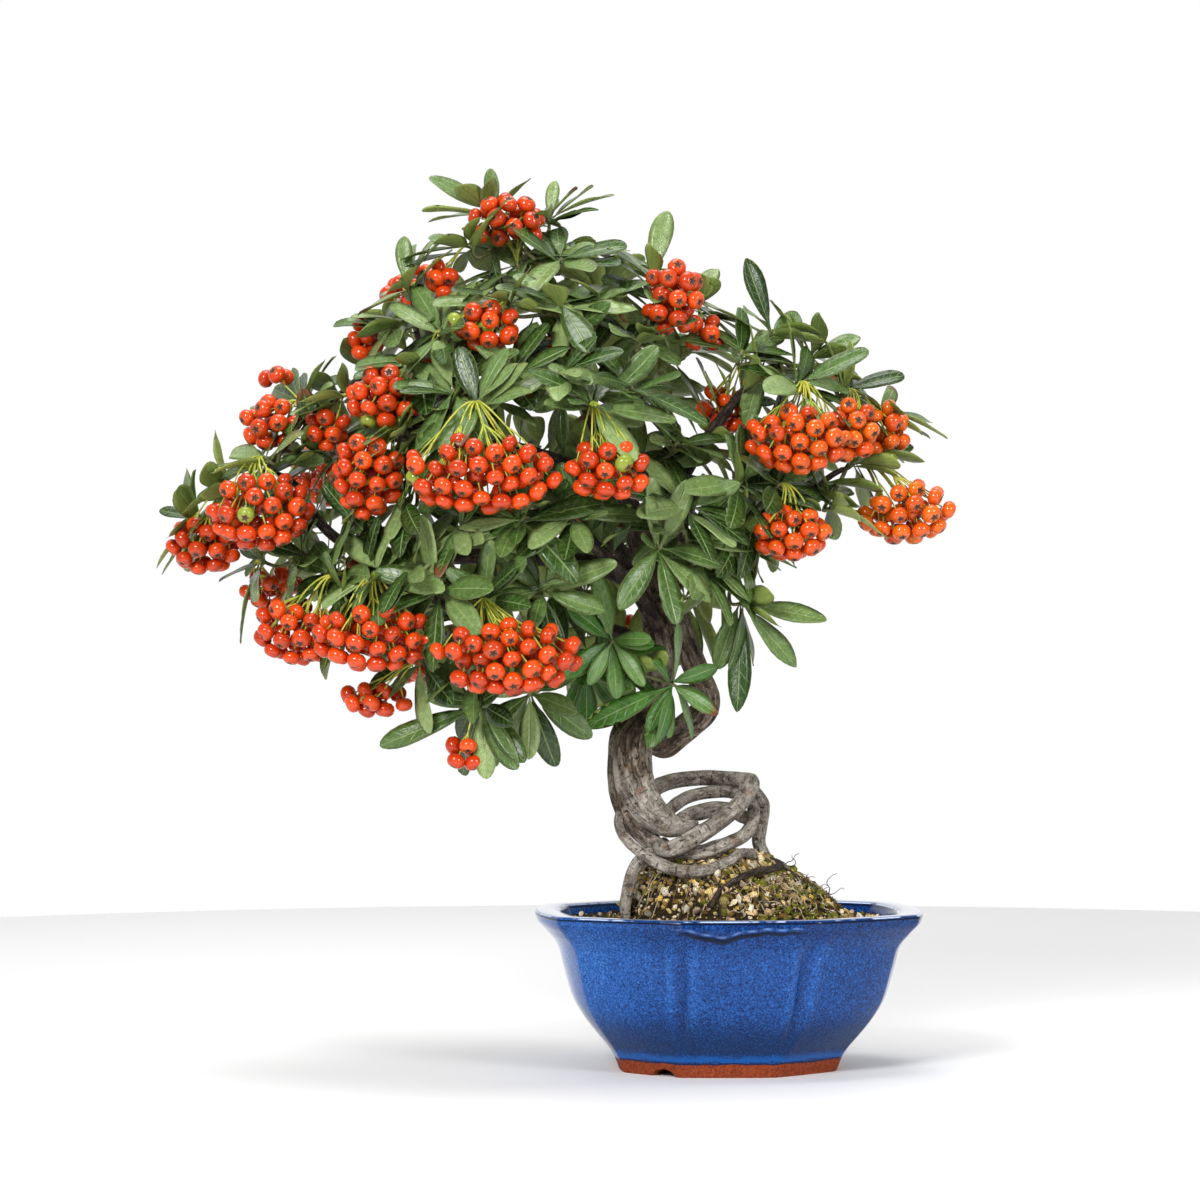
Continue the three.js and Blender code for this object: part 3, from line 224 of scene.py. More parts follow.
class Wire:
    """One output of a shader node. Arithmetic on it adds Math nodes; node() adds any other kind."""

    def __init__(self, tree, socket=None):
        self.tree = tree
        self.socket = socket

    def node(self, kind, settings, inputs, output=0):
        """A node of this kind, its settings made first, then its sockets given values or wires. The stops
        of a ramp are a setting: pairs of a place and a colour."""
        made = self.tree.nodes.new(kind)
        for key, value in settings.items():
            if key == "stops":
                elements = made.color_ramp.elements
                while len(elements) < len(value):
                    elements.new(1)
                for element, (place, colour) in zip(elements, value):
                    element.position = place
                    element.color = (*colour, 1)
            else:
                setattr(made, key, value)
        for key, value in inputs.items():
            if isinstance(value, Wire):
                self.tree.links.new(value.socket, made.inputs[key])
            else:
                made.inputs[key].default_value = value
        return Wire(self.tree, made.outputs[output])

    def math(self, operation, *values):
        return self.node("ShaderNodeMath", {"operation": operation}, dict(enumerate((self, *values))))

    def mix(self, low, high):
        """Colour low where this is 0, high where it is 1."""
        low, high = ((*c, 1) if isinstance(c, tuple) else c for c in (low, high))
        return self.node("ShaderNodeMix", {"data_type": "RGBA"}, {0: self, 6: low, 7: high}, 2)

    def ramp(self, *stops):
        return self.node("ShaderNodeValToRGB", {"stops": stops}, {0: self})

    def noise(self, scale, detail=3, roughness=0.55, distortion=0.0):
        """Noise from 0 to 1 at these coordinates."""
        settings = {"Vector": self, "Scale": scale, "Detail": detail, "Roughness": roughness}
        return self.node("ShaderNodeTexNoise", {}, {**settings, "Distortion": distortion})

    def number(self, name):
        """The number that the mesh holds under this name at each point."""
        return self.node("ShaderNodeAttribute", {"attribute_name": name}, {}, 2)

    def vector(self, name):
        """The vector that the mesh holds under this name at each point."""
        return self.node("ShaderNodeAttribute", {"attribute_name": name}, {}, 1)

    def part(self, axis):
        """The X, Y or Z of a vector."""
        return self.node("ShaderNodeSeparateXYZ", {}, {0: self}, axis)

    def times(self, vector):
        return self.node("ShaderNodeVectorMath", {"operation": "MULTIPLY"}, {0: self, 1: vector})

    def between(self, low, high):
        """0 below low, 1 above high, with an eased step between."""
        settings = {"interpolation_type": "SMOOTHSTEP"}
        return self.node("ShaderNodeMapRange", settings, {0: self, 1: low, 2: high, 3: 0.0, 4: 1.0})

    def band(self, rise, top, edge, fall):
        """1 from top to edge, 0 below rise and above fall, with eased steps between."""
        return self.between(rise, top) * (1 - self.between(edge, fall))

    def bump(self, strength, distance):
        return self.node("ShaderNodeBump", {}, {"Height": self, "Strength": strength, "Distance": distance})

    def __add__(self, other):
        return self.math("ADD", other)

    def __sub__(self, other):
        return self.math("SUBTRACT", other)

    def __mul__(self, other):
        return self.math("MULTIPLY", other)

    def __rsub__(self, other):
        return self.math("MULTIPLY_ADD", -1.0, other)



def new_material(name):
    """An empty material, a wire to start from, and its Principled shader."""
    material = bpy.data.materials.new(name)
    material.use_nodes = True
    tree = material.node_tree
    return material, Wire(tree), tree.nodes["Principled BSDF"]


def coat(shader, links, **values):
    """Gives the shader its linked sockets and its constant ones."""
    for key, wire in links.items():
        shader.id_data.links.new(wire.socket, shader.inputs[key])
    for key, value in values.items():
        shader.inputs[key.replace("_", " ")].default_value = value


def object_place(start):
    """Object coordinates in millimetres."""
    return start.node("ShaderNodeTexCoord", {}, {}, "Object").times((1000, 1000, 1000))


def painted(colour, *coats):
    """A colour with coats over it, the lowest first: each a mask, the share of it that shows, a colour."""
    for mask, share, paint in coats:
        colour = (mask * share).mix(colour, paint)
    return colour


outer = smooth_rows(OUTER_WALL, 150)
inner = smooth_rows(INNER_WALL, 24)
pot_points = pot_rings(np.vstack([outer, RIM_TOP, inner, DRAIN_ROWS, UNDERSIDE_ROWS]), AROUND_POT)
drain = slice(len(outer) + len(RIM_TOP) + len(inner), -len(UNDERSIDE_ROWS))
pot_points[drain, :, :2] = DRAIN_RADIUS * unit(pot_points[drain, :, :2])
x, y, height = np.moveaxis(pot_points, -1, 0)
on_wall = np.arange(len(pot_points))[:, None] < len(outer)
# The roll's ledge, its painted shadow and its painted highlight.
ledge, roll_shadow, crest_highlight = glaze_roll(x, y, height) * on_wall
# Painted highlight on the shoulders beside the grooves and painted shade in them, for the glaze colour.
groove_light = painted_groove_light(height)
y -= ledge
for notch in NOTCHES:
    toward = unit(np.array(notch))
    across = x * toward[1] - y * toward[0]
    outside = x * toward[0] + y * toward[1] > 30
    arch = NOTCH_HEIGHT * np.sqrt(np.clip(1 - (across / NOTCH_HALF_WIDTH) ** 2, 0, 1)) * outside
    near_ground = height < 4.5
    height[:] = np.where(near_ground, np.maximum(height, arch), height)
pot_faces = ring_faces(len(pot_points), AROUND_POT, loop=True)

glaze, start, shader = new_material("cobalt_glaze")
place = object_place(start)
z = place.part("Z")
speckle = place.noise(1.35, 3, 0.65, 1.0)
wander = place.noise(0.12, 2)
long_side = place.part("X").math("ABSOLUTE")
# Painted light and shade in the glaze's lightness, besides the glaze's random thickness from the noise: a
# band at mid height painted lighter than the wall under the rim and near the foot, the painted highlight
# beside the grooves, and the middle of the front and back walls painted lighter than their ends, as where
# the lamps fall.
thin = z.band(12, 30, 48, 58) * 0.06 + place.noise(0.07, 3) * 0.08 + start.number("shoulder") * 0.06
thin = thin + (1 - long_side.between(6, 48)) * 0.13 - 0.055
blue = (speckle + thin - 0.11).ramp(
    (0.3, (0.003, 0.012, 0.065)), (0.42, (0.007, 0.042, 0.18)), (0.53, (0.015, 0.086, 0.32)),
    (0.64, (0.035, 0.14, 0.45)), (0.8, (0.12, 0.28, 0.62)))
azure = (z - wander * 2.2).between(4.5, 5.4) * (1 - (z - wander * 2.4).between(5.4, 8.5))
# Painted shade: the low wall, which turns under toward the foot, darkened.
low_wall_shade = (z - wander * 2).between(6.5, 9) * (1 - z.between(12, 26))
# Painted shade: a dark line just under the edge of the rim, where it overhangs the wall.
shade_under_rim = z.band(59.7, 60.1, 60.4, 60.8)
# The flat rim top is painted paler, a painted reflection of the white surround, and takes a clear coat.
flat_rim = z.between(61.2, 61.45)
glint = z.band(60.75, 60.95, 61.15, 61.3) * place.noise(0.07, 2).between(0.47, 0.53)
spot = place.noise(0.35, 3).between(0.75, 0.78)
above_line = z + wander * 1.6 - GLAZE_LINE
bare = 1 - above_line.between(0.4, 0.75)
grit = place.noise(1.1, 4, 0.7)
clay = grit.ramp((0.35, (0.1, 0.016, 0.004)), (0.5, (0.22, 0.036, 0.009)), (0.65, (0.31, 0.065, 0.018)))
coat(shader, {
    "Base Color": painted(
        blue,
        (azure, 0.8, (0.003, 0.09, 0.36)),
        (low_wall_shade, 0.6, (0.003, 0.022, 0.075)),
        (shade_under_rim, 0.9, (0.003, 0.006, 0.014)),
        # Painted shadow under the glaze roll and painted highlight on its crest.
        (start.number("roll"), 0.92, (0.003, 0.005, 0.01)),
        (start.number("crest"), 0.55, (0.2, 0.36, 0.74)),
        (flat_rim, 0.25, (0.35, 0.5, 0.8)),
        (glint, 0.8, (0.62, 0.72, 0.92)),
        (spot, 0.6, (0.004, 0.01, 0.05)),
        (bare, 1, clay),
        (above_line.band(0.3, 0.6, 0.9, 1.3), 1, (0.006, 0.012, 0.05))),
    "Roughness": bare * 0.68 + speckle * 0.06 + 0.05,
    "Coat Weight": flat_rim * 0.9,
    "Normal": (speckle * 0.4 * (1 - flat_rim) + grit * bare).bump(0.25, 0.00015),
}, Specular_IOR_Level=0.22)
pot = piece("glazed_pot", pot_points.reshape(-1, 3), pot_faces, [glaze],
            [("roll", roll_shadow.ravel()), ("crest", crest_highlight.ravel()), ("shoulder", groove_light.ravel())])
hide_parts("pot")
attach(pot, "root")

# Drain screen: a square of plastic mesh that lies over the drain hole under the soil. Its CAD solid has
# the right shape and takes a dull dark plastic.
plastic, start, shader = new_material("screen_plastic")
scuff = object_place(start).noise(0.9, 4)
coat(shader, {
    "Base Color": scuff.mix((0.014, 0.016, 0.018), (0.035, 0.038, 0.04)),
    "Roughness": scuff * 0.25 + 0.45,
    "Normal": scuff.bump(0.2, 0.0002),
})
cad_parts["drain_screen"].material_slots[0].material = plastic

# Soil: dark at the wall, where it stands a little below the rim, and heaped up to the root ball in a mound
# of baked clay and pumice grains with moss, fine roots and fibres among them.
SOIL_EDGE_HEIGHT = 57.5
MOUND_HEIGHT = 25
MOUND_MIDDLE = 2
MOUND_REACH = np.array([45, 40])
AROUND_SOIL = 128
# The shell of soil begins this much higher and farther in than the pot's inner wall.
OFF_THE_WALL = [0.4, -0.6, 0]


def soil_height(x, y):
    """Height of the soil: the level at the wall plus a mound, one minus a power of the distance from the
    middle that is steep on the left and gentle on the right, plus small humps."""
    reach = np.hypot((x - MOUND_MIDDLE) / MOUND_REACH[0], y / MOUND_REACH[1])
    ease = np.clip((x + 30) / 50, 0, 1)
    power = 6.5 - 4.8 * ease * ease * (3 - 2 * ease)
    mound = np.maximum(0, 1 - reach ** power) * (MOUND_HEIGHT + 0.06 * x)
    humps = np.sin(x * 1.9 + np.sin(y * 1.3)) * np.sin(y * 2.1 + np.sin(x * 0.9))
    return SOIL_EDGE_HEIGHT + mound + 0.7 * humps * np.minimum(1, mound / 4)


side_rows = inner[inner[:, 0] < SOIL_EDGE_HEIGHT][::-1] + OFF_THE_WALL
soil_sides = pot_rings(side_rows, AROUND_SOIL)
soil_edge = soil_sides[-1, :, :2]
soil_top = soil_edge * np.linspace(1, 0.02, 46)[:, None, None]
soil_top = np.dstack([soil_top, soil_height(soil_top[..., 0], soil_top[..., 1])])
soil_points = np.concatenate([soil_sides, soil_top])
ring = np.arange(AROUND_SOIL)
soil_faces = ring_faces(len(soil_points), AROUND_SOIL).tolist()
soil_faces += [ring[::-1].tolist(), ((len(soil_points) - 1) * AROUND_SOIL + ring).tolist()]

earth, start, shader = new_material("dark_soil")
place = object_place(start)
crumb = place.noise(0.9, 5, 0.7)
damp = place.noise(0.12, 2)
coat(shader, {
    "Base Color": damp.mix(
        crumb.ramp((0.3, (0.008, 0.005, 0.003)), (0.55, (0.028, 0.017, 0.009)), (0.8, (0.09, 0.06, 0.025))),
        crumb.ramp((0.3, (0.012, 0.008, 0.004)), (0.6, (0.045, 0.03, 0.012)), (0.8, (0.12, 0.095, 0.035)))),
    "Roughness": crumb * 0.2 + 0.75,
    "Normal": crumb.bump(0.9, 0.0012),
}, Specular_IOR_Level=0.15)
soil = piece("soil_bed", soil_points.reshape(-1, 3), soil_faces, [earth])
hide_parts("soil")
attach(soil, "root")

GOLDEN = (1 + 5 ** 0.5) / 2
STONE = np.array([
    [-1, GOLDEN, 0], [1, GOLDEN, 0], [-1, -GOLDEN, 0], [1, -GOLDEN, 0], [0, -1, GOLDEN], [0, 1, GOLDEN],
    [0, -1, -GOLDEN], [0, 1, -GOLDEN], [GOLDEN, 0, -1], [GOLDEN, 0, 1], [-GOLDEN, 0, -1], [-GOLDEN, 0, 1],
]) / math.hypot(1, GOLDEN)
STONE_FACES = np.array([
    [0, 11, 5], [0, 5, 1], [0, 1, 7], [0, 7, 10], [0, 10, 11], [1, 5, 9], [5, 11, 4], [11, 10, 2],
    [10, 7, 6], [7, 1, 8], [3, 9, 4], [3, 4, 2], [3, 2, 6], [3, 6, 8], [3, 8, 9], [4, 9, 5], [2, 4, 11],
    [6, 2, 10], [8, 6, 7], [9, 8, 1],
])
GRAINS = 6400
rng = np.random.default_rng(11)
angle = rng.uniform(0, 2 * math.pi, GRAINS)
spread = np.sqrt(rng.uniform(0, 1, GRAINS))
on_mound = rng.uniform(0, 1, GRAINS) < 0.86
edge_reach = 0.97 * soil_edge[(angle / (2 * math.pi) * AROUND_SOIL).astype(int)]
mound_x, mound_y = MOUND_REACH + 1
grain_x = spread * np.where(on_mound, mound_x * np.cos(angle), edge_reach[:, 0]) + on_mound * MOUND_MIDDLE
grain_y = spread * np.where(on_mound, mound_y * np.sin(angle), edge_reach[:, 1])
grain_size = (0.45 + 1.5 * rng.uniform(0, 1, GRAINS) ** 2.4) * np.where(on_mound, 1, 0.75)
lift = rng.uniform(-0.25, 0.75, GRAINS) * grain_size
centres = np.stack([grain_x, grain_y, soil_height(grain_x, grain_y) + lift], axis=-1)
turns = np.linalg.qr(rng.normal(size=(GRAINS, 3, 3)))[0]
uneven = 1 + rng.uniform(-0.34, 0.34, (GRAINS, len(STONE), 1))
stretch = rng.uniform(0.45, 1.25, (GRAINS, 1, 3))
grain_points = (STONE * uneven * stretch) @ turns * grain_size[:, None, None] + centres[:, None]
grain_faces = STONE_FACES + (np.arange(GRAINS) * len(STONE))[:, None, None]
flipped = np.linalg.det(turns) < 0
grain_faces[flipped] = grain_faces[flipped][..., ::-1]
mossy = np.exp(-((grain_x - 26) / 15) ** 2) * 0.4 + 0.1
kind_of_grain = np.where(rng.uniform(0, 1, GRAINS) < mossy, 0.95, rng.uniform(0, 0.84, GRAINS))

grit_finish, start, shader = new_material("grit_grains")
dust = object_place(start).noise(2.2, 4, 0.7)
stone = start.number("kind").ramp(
    (0.0, (0.01, 0.007, 0.004)), (0.14, (0.26, 0.15, 0.04)), (0.26, (0.95, 0.7, 0.42)),
    (0.34, (0.02, 0.013, 0.006)), (0.46, (1.0, 0.9, 0.7)), (0.56, (0.78, 0.52, 0.12)),
    (0.66, (0.006, 0.004, 0.002)), (0.84, (0.9, 0.7, 0.26)), (0.95, (0.17, 0.18, 0.02)))
coat(shader, {
    "Base Color": (dust.between(0.47, 0.6) * 0.75).mix(stone, (0.035, 0.02, 0.008)),
    "Roughness": dust * 0.2 + 0.7,
    "Normal": dust.bump(0.6, 0.0004),
}, Specular_IOR_Level=0.1)
grains = piece(
    "grit_grains", grain_points.reshape(-1, 3), grain_faces.reshape(-1, 3).tolist(), [grit_finish],
    [("kind", np.repeat(kind_of_grain, len(STONE)))], smooth=False)
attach(grains, "root")

# Wood: surface roots that coil round the foot of the trunk, two stems that cross, and the branches. It all
# grew as one piece. The roots are smooth and grey with pits, the trunk ridged, the branches dark.
# Limbs: points with their radii, from the foot or the fork to the end.
ROOTS = {
    "trunk": [
        [-12, -15, 96, 0.9], [-17, -15.5, 94.6, 2.9], [-22.5, -15.5, 95, 4.9], [-28.5, -15.5, 98.8, 6.5],
        [-33.5, -15, 105, 7.4], [-36.5, -14, 112, 7.9], [-37.5, -12, 119, 7.9], [-37, -8.5, 125.5, 7.4],
        [-35, -3, 130, 6.5], [-34, 5, 132, 5.8], [-32, 12, 131, 5.2], [-29, 15, 127, 5.0],
        [-25, 13, 125, 5.0], [-20, 10, 129, 5.2], [-14, 7, 134, 5.4], [-9, 4, 139, 5.4],
        [-8, 3, 144, 5.2], [-11, 3, 152, 5.1], [-16, 3, 164, 5.0], [-22, 2, 180, 4.7], [-30, 1, 194, 4.2],
    ],
    "second_stem": [
        [-27, -14, 85, 2.4], [-33, -13, 90, 3.1], [-38, -11, 96, 3.7], [-41.5, -9.5, 104, 4.1],
        [-43, -8, 113, 4.1], [-43, -6, 122, 4.0], [-42, -2, 129, 4.2], [-38, 5, 135, 4.5],
        [-33, 9, 140, 5.0], [-28, 9, 147, 5.2], [-26, 6, 157, 5.4], [-28, 4, 171, 5.3],
        [-31, 2, 186, 5.1], [-34, 2, 202, 4.8], [-38, 2, 217, 4.3], [-45, 4, 235, 3.8],
        [-53, 2, 254, 3.2], [-62, 0, 274, 2.6], [-70, -3, 289, 2.1], [-76, -5, 302, 1.6],
    ],
    "coil_top": [
        [-31, 4, 104, 3.0], [-28, 13, 108, 3.1], [-21, 21, 110.5, 3.1], [-11, 24, 111.5, 3.1],
        [-2, 21, 111.5, 3.1], [4, 13, 111.5, 3.1], [9, 3, 111, 3.2], [8, -6, 108, 3.1],
        [4, -12, 103, 3.2], [-2, -18, 98, 3.3], [-10, -22.5, 92.7, 3.4], [-17.5, -24, 88.6, 3.4],
        [-23.5, -22, 86, 3.4], [-28, -16, 87, 3.2], [-31, -8, 92, 3.0],
    ],
    "coil_middle": [
        [-25, 2, 98, 2.4], [-20.5, 10, 101.5, 2.5], [-15, 16, 104.5, 2.5], [-8, 18, 106, 2.5],
        [0, 15, 106.5, 2.5], [6, 9, 105, 2.5], [9.5, 2, 102, 2.5], [9.5, -4, 96.5, 2.5],
        [6, -10, 91, 2.7], [-1, -15.5, 87.8, 2.8], [-8, -18.5, 85.6, 2.8], [-15, -18, 84, 2.7],
        [-21, -13, 84, 2.5], [-26, -8, 88, 2.4],
    ],
    "coil_inner": [
        [-19, -4, 96, 2.8], [-14, 6, 98, 3.1], [-7, 11, 99.5, 3.2], [1, 8, 99.5, 3.0], [7, 1, 97, 2.6],
    ],
    "right_root": [
        [5, 6, 110, 2.5], [10, 7, 107.5, 2.5], [13.8, 6, 101.5, 2.5], [13, 4, 94, 2.5],
        [12, 2, 87.5, 2.6], [14.5, 1, 81, 2.5], [17, 1, 70, 2.2],
    ],
    "loop_root": [
        [-37, -8, 104, 2.2], [-41, -10, 101.5, 2.0], [-42.8, -13, 96.5, 1.8], [-41.5, -16, 92, 1.9],
        [-38.5, -20, 88.3, 1.9], [-33, -24, 84, 2.1], [-27, -27, 80.6, 2.4], [-20, -29, 78.5, 2.5],
        [-13, -29, 77.9, 2.4], [-6, -27, 79.3, 2.2], [0, -23, 82, 2.0], [5, -18, 84.5, 1.8],
        [9, -13, 83, 1.6], [12, -10, 78, 1.4],
    ],
    "left_root": [
        [-29, -16, 85, 2.5], [-33.5, -20, 82.5, 2.5], [-37, -22, 78, 2.4], [-39, -23, 72, 2.3],
        [-40.2, -23, 65, 2.1], [-40, -22, 57, 1.6],
    ],
    "dark_root": [
        [14, -2, 81, 1.7], [20, -8, 79.4, 1.5], [17, -17, 78.4, 1.4], [9, -24, 77.4, 1.4],
        [2.5, -29, 74.9, 1.3], [-4, -34, 70.6, 1.2], [-8, -37, 65, 1.0],
    ],
}
BRANCHES = {
    "low_left": [
        [-25, 6, 157, 4.4], [-38, 4, 159, 4.0], [-50, -2, 158, 3.8], [-64, -12, 161, 3.4],
        [-81, -24, 167, 2.9], [-100, -36, 176, 2.4], [-118, -44, 185, 2.0], [-139, -46, 191, 1.5],
    ],
    "left": [
        [-30, 2, 186, 4.6], [-46, 4, 194, 4.0], [-66, 6, 198, 3.6], [-97, 2, 199, 3.1],
        [-126, -6, 199, 2.6], [-149, -12, 204, 2.2], [-160, -14, 214, 1.9], [-166, -14, 225, 1.5],
    ],
    "upper_left": [
        [-41, 2, 225, 3.2], [-58, -8, 233, 2.8], [-77, -22, 239, 2.4], [-96, -38, 244, 2.0],
        [-111, -48, 250, 1.5],
    ],
    "high_left": [
        [-56, 1, 262, 2.8], [-73, 4, 270, 2.5], [-97, 6, 275, 2.2], [-120, 6, 278, 1.9],
        [-140, 3, 271, 1.6], [-155, 0, 259, 1.3],
    ],
    "high_centre": [
        [-54, 2, 256, 2.6], [-58, -18, 271, 2.2], [-66, -32, 284, 1.6],
    ],
    "inner_right": [
        [-34, 1, 202, 3.4], [-22, -5, 223, 2.8], [-9, -10, 244, 2.3], [3, -12, 260, 1.9],
        [14, -12, 271, 1.4],
    ],
    "right": [
        [-29, 2, 182, 4.2], [-15, -2, 194, 3.6], [2, -6, 206, 3.0], [19, -8, 218, 2.5],
        [35, -10, 226, 1.8],
    ],
    "high_right": [
        [-46, 4, 237, 2.8], [-36, 9, 260, 2.4], [-30, 10, 280, 2.0], [-27, 6, 297, 1.4],
    ],
    "front": [
        [-27, 0, 172, 3.4], [-38, -18, 188, 2.9], [-52, -36, 203, 2.4], [-65, -52, 214, 1.9],
        [-78, -60, 220, 1.4],
    ],
    "front_right": [
        [-31, 0, 196, 3.2], [-19, -16, 203, 2.5], [-19, -32, 210, 1.8],
    ],
    "back": [
        [-28, 6, 178, 4.0], [-34, 24, 190, 3.4], [-45, 44, 206, 2.8], [-56, 60, 222, 2.3],
        [-66, 70, 237, 1.6],
    ],
    "back_left": [
        [-42, 6, 221, 3.4], [-62, 24, 233, 2.8], [-90, 42, 242, 2.3], [-119, 54, 247, 1.9],
        [-143, 58, 247, 1.4],
    ],
    "back_low": [
        [-26, 8, 162, 3.4], [-40, 26, 168, 2.9], [-62, 44, 176, 2.4], [-86, 56, 182, 1.9],
        [-111, 62, 186, 1.4],
    ],
    "back_right": [
        [-26, 4, 192, 3.4], [-10, 22, 208, 2.8], [6, 38, 224, 2.3], [20, 46, 240, 1.6],
    ],
    "back_high": [
        [-50, 6, 249, 2.6], [-56, 26, 269, 2.2], [-62, 40, 288, 1.8], [-66, 46, 302, 1.3],
    ],
}
# Leafy sprays: name, rosettes of leaves, leaves that reach a place of their own: rosette, tip. A twig of
# the wood leads to each spray.
SPRAYS = [
    ["crown", [[-92, 4, 334], [-100, -14, 320], [-70, 0, 331], [-82, -8, 313], [-65, -20, 314]],
     [[0, [-116, 0, 348]], [0, [-92, -2, 350]], [2, [-68, 2, 346]], [2, [-58, -10, 332]],
      [4, [-40, -26, 320]], [1, [-116, -20, 322]]]],
    ["high_right", [[-30, -18, 307], [-14, -10, 298], [-35, -34, 283]],
     [[0, [-25, -14, 333]], [1, [-4, 2, 312]]]],
    ["right_crown", [[17, -6, 287], [5, -20, 278], [27, -26, 266], [46, -8, 264], [33, 4, 278]],
     [[0, [6, -12, 314]], [2, [53, -30, 277]], [3, [68, -4, 271]], [4, [53, 10, 285]]]],
    ["right_end", [[50, -6, 236], [41, -14, 219], [61, 4, 257]], [[0, [72, 4, 244]]]],
    ["right_low", [[20, -26, 227], [4, -36, 227], [4, -20, 209]], []],
    ["right_hanging", [[6, -16, 181], [-3, -6, 194]],
     [[0, [37, -22, 174]], [0, [26, -10, 155]], [0, [4, -22, 139]], [0, [-6, -20, 156]]]],
    ["mid_right", [[-16, -48, 218], [-10, -34, 197], [-27, -54, 202]], []],
    ["centre_right", [[-53, -72, 256], [-38, -64, 262], [-65, -64, 268]], []],
    ["centre", [[-96, -72, 256], [-83, -58, 268], [-105, -64, 261]], []],
    ["upper_centre", [[-65, -44, 295], [-85, -44, 296], [-50, -26, 297]], []],
    ["upper_left", [[-125, -16, 304], [-111, -42, 285], [-130, -20, 288]], [[0, [-127, -12, 323]]]],
    ["left_shoulder",
     [[-118, -46, 272], [-147, -32, 261], [-126, -54, 247], [-145, -40, 212], [-124, -60, 220]], []],
    ["left_end", [[-166, -12, 259], [-179, -30, 237], [-157, -24, 239], [-194, -14, 225], [-208, -2, 214]],
     [[4, [-222, 2, 218]], [2, [-164, -30, 263]]]],
    ["left_low", [[-165, -24, 200], [-183, -2, 198], [-151, -40, 192]], []],
    ["front_low_left", [[-133, -58, 193], [-121, -64, 195], [-145, -46, 180]], []],
    ["low_centre", [[-93, -70, 183], [-111, -68, 186], [-72, -64, 186]], []],
    ["centre_middle", [[-80, -68, 212], [-60, -62, 214], [-104, -64, 209]], []],
    ["low", [[-96, -48, 142], [-77, -44, 146], [-119, -46, 159]],
     [[0, [-134, -42, 126]], [0, [-91, -53, 115]], [1, [-76, -50, 122]], [0, [-79, -58, 121]]]],
    ["trunk_low", [[-21, -20, 149], [-45, -34, 166], [-55, -20, 154]],
     [[0, [-56, -28, 134]], [0, [-31, -28, 132]], [0, [-4, -17, 138]], [0, [-32, -27, 126]]]],
    ["back_high", [[-50, 38, 306], [-72, 34, 314], [-14, 42, 284], [-34, 62, 269]], []],
    ["back_upper_left", [[-102, 44, 298], [-126, 46, 290], [-115, 66, 269]], []],
    ["back_left", [[-151, 56, 255], [-170, 42, 241], [-143, 74, 231]], []],
    ["back_left_low", [[-155, 50, 198], [-131, 66, 181], [-173, 34, 211]], []],
    ["back_low", [[-99, 70, 173], [-70, 60, 165], [-41, 44, 161]], []],
    ["back_centre", [[-75, 84, 244], [-48, 78, 247], [-99, 84, 209], [-42, 76, 204], [-56, 72, 185]], []],
    ["back_right", [[6, 52, 254], [26, 38, 246], [15, 46, 217], [-14, 48, 183]], []],
    ["inner", [[-20, -30, 243], [-31, -26, 233]], []],
]
TWIG_RADIUS = 1.15
TWIG_INSET = 1.5
UP = np.array([0, 0, 1.0])


def limb_path(rows, steps):
    """Points and radii along a limb: through each four neighbouring rows goes a cubic whose slopes are
    weighed by the square roots of the spans between them; the radius runs straight from row to row."""
    rows = np.asarray(rows, dtype=float)
    ends = np.vstack([2 * rows[0] - rows[1], rows, 2 * rows[-1] - rows[-2]])[:, :3]
    place = np.linspace(0, len(rows) - 1, steps)
    i = np.minimum(place.astype(int), len(rows) - 2)
    t = (place - i)[:, None]
    a, b, c, d = ends[i], ends[i + 1], ends[i + 2], ends[i + 3]
    before, span, after = (
        np.linalg.norm(q - p, axis=-1, keepdims=True) ** 0.5 for p, q in ((a, b), (b, c), (c, d)))
    leave = ((b - a) / before - (c - a) / (before + span) + (c - b) / span) * span
    arrive = ((c - b) / span - (d - b) / (span + after) + (d - c) / after) * span
    path = b + t * (leave + t * (3 * (c - b) - 2 * leave - arrive + t * (2 * (b - c) + leave + arrive)))
    return path, np.interp(place, np.arange(len(rows)), rows[:, 3])


def bend_path(start, bend, end, steps):
    """A parabola from start to end that leaves toward bend and arrives from it."""
    t = np.linspace(0, 1, steps)[:, None]
    return (1 - t) ** 2 * start + 2 * t * (1 - t) * bend + t ** 2 * end


def carried_sides(path):
    """The direction of a path and two directions square to it, carried along without twisting."""
    along = unit(np.gradient(path, axis=0))
    side = np.empty_like(path)
    carried = np.cross([0.31, 0.17, 0.93], along[0])
    for k, direction in enumerate(along):
        carried = carried - direction * (carried @ direction)
        carried = carried / np.linalg.norm(carried)
        side[k] = carried
    return along, side, np.cross(along, side)


def outward_at(side, other, angle):
    """The direction at an angle round a line, from two directions square to the line and each other."""
    return np.cos(angle) * side + np.sin(angle) * other


class Heap:
    """Points, faces and point values of many small forms that make up one piece."""

    def __init__(self):
        self.points = []
        self.faces = []
        self.which = []
        self.values = {}
        self.count = 0

    def add(self, points, faces, which=0, **values):
        points = points.reshape(-1, 3)
        for group in faces:
            self.faces += (group + self.count).tolist()
            self.which += [which] * len(group)
        for key, value in values.items():
            self.values.setdefault(key, []).append(value)
        self.points.append(points)
        self.count += len(points)

    def add_tube(self, path, thick, thin, around, which=0, **values):
        """Adds a tube whose radius goes evenly from thick to thin, with the same values at each point."""
        points, faces = tube(path, np.linspace(thick, thin, len(path)), around)
        for key, value in values.items():
            values[key] = np.broadcast_to(value, (len(points), *np.shape(value)))
        self.add(points, faces, which, **values)

    def made(self, name, materials):
        attributes = [(key, np.concatenate(parts)) for key, parts in self.values.items()]
        return piece(name, np.concatenate(self.points), self.faces, materials, attributes, self.which)


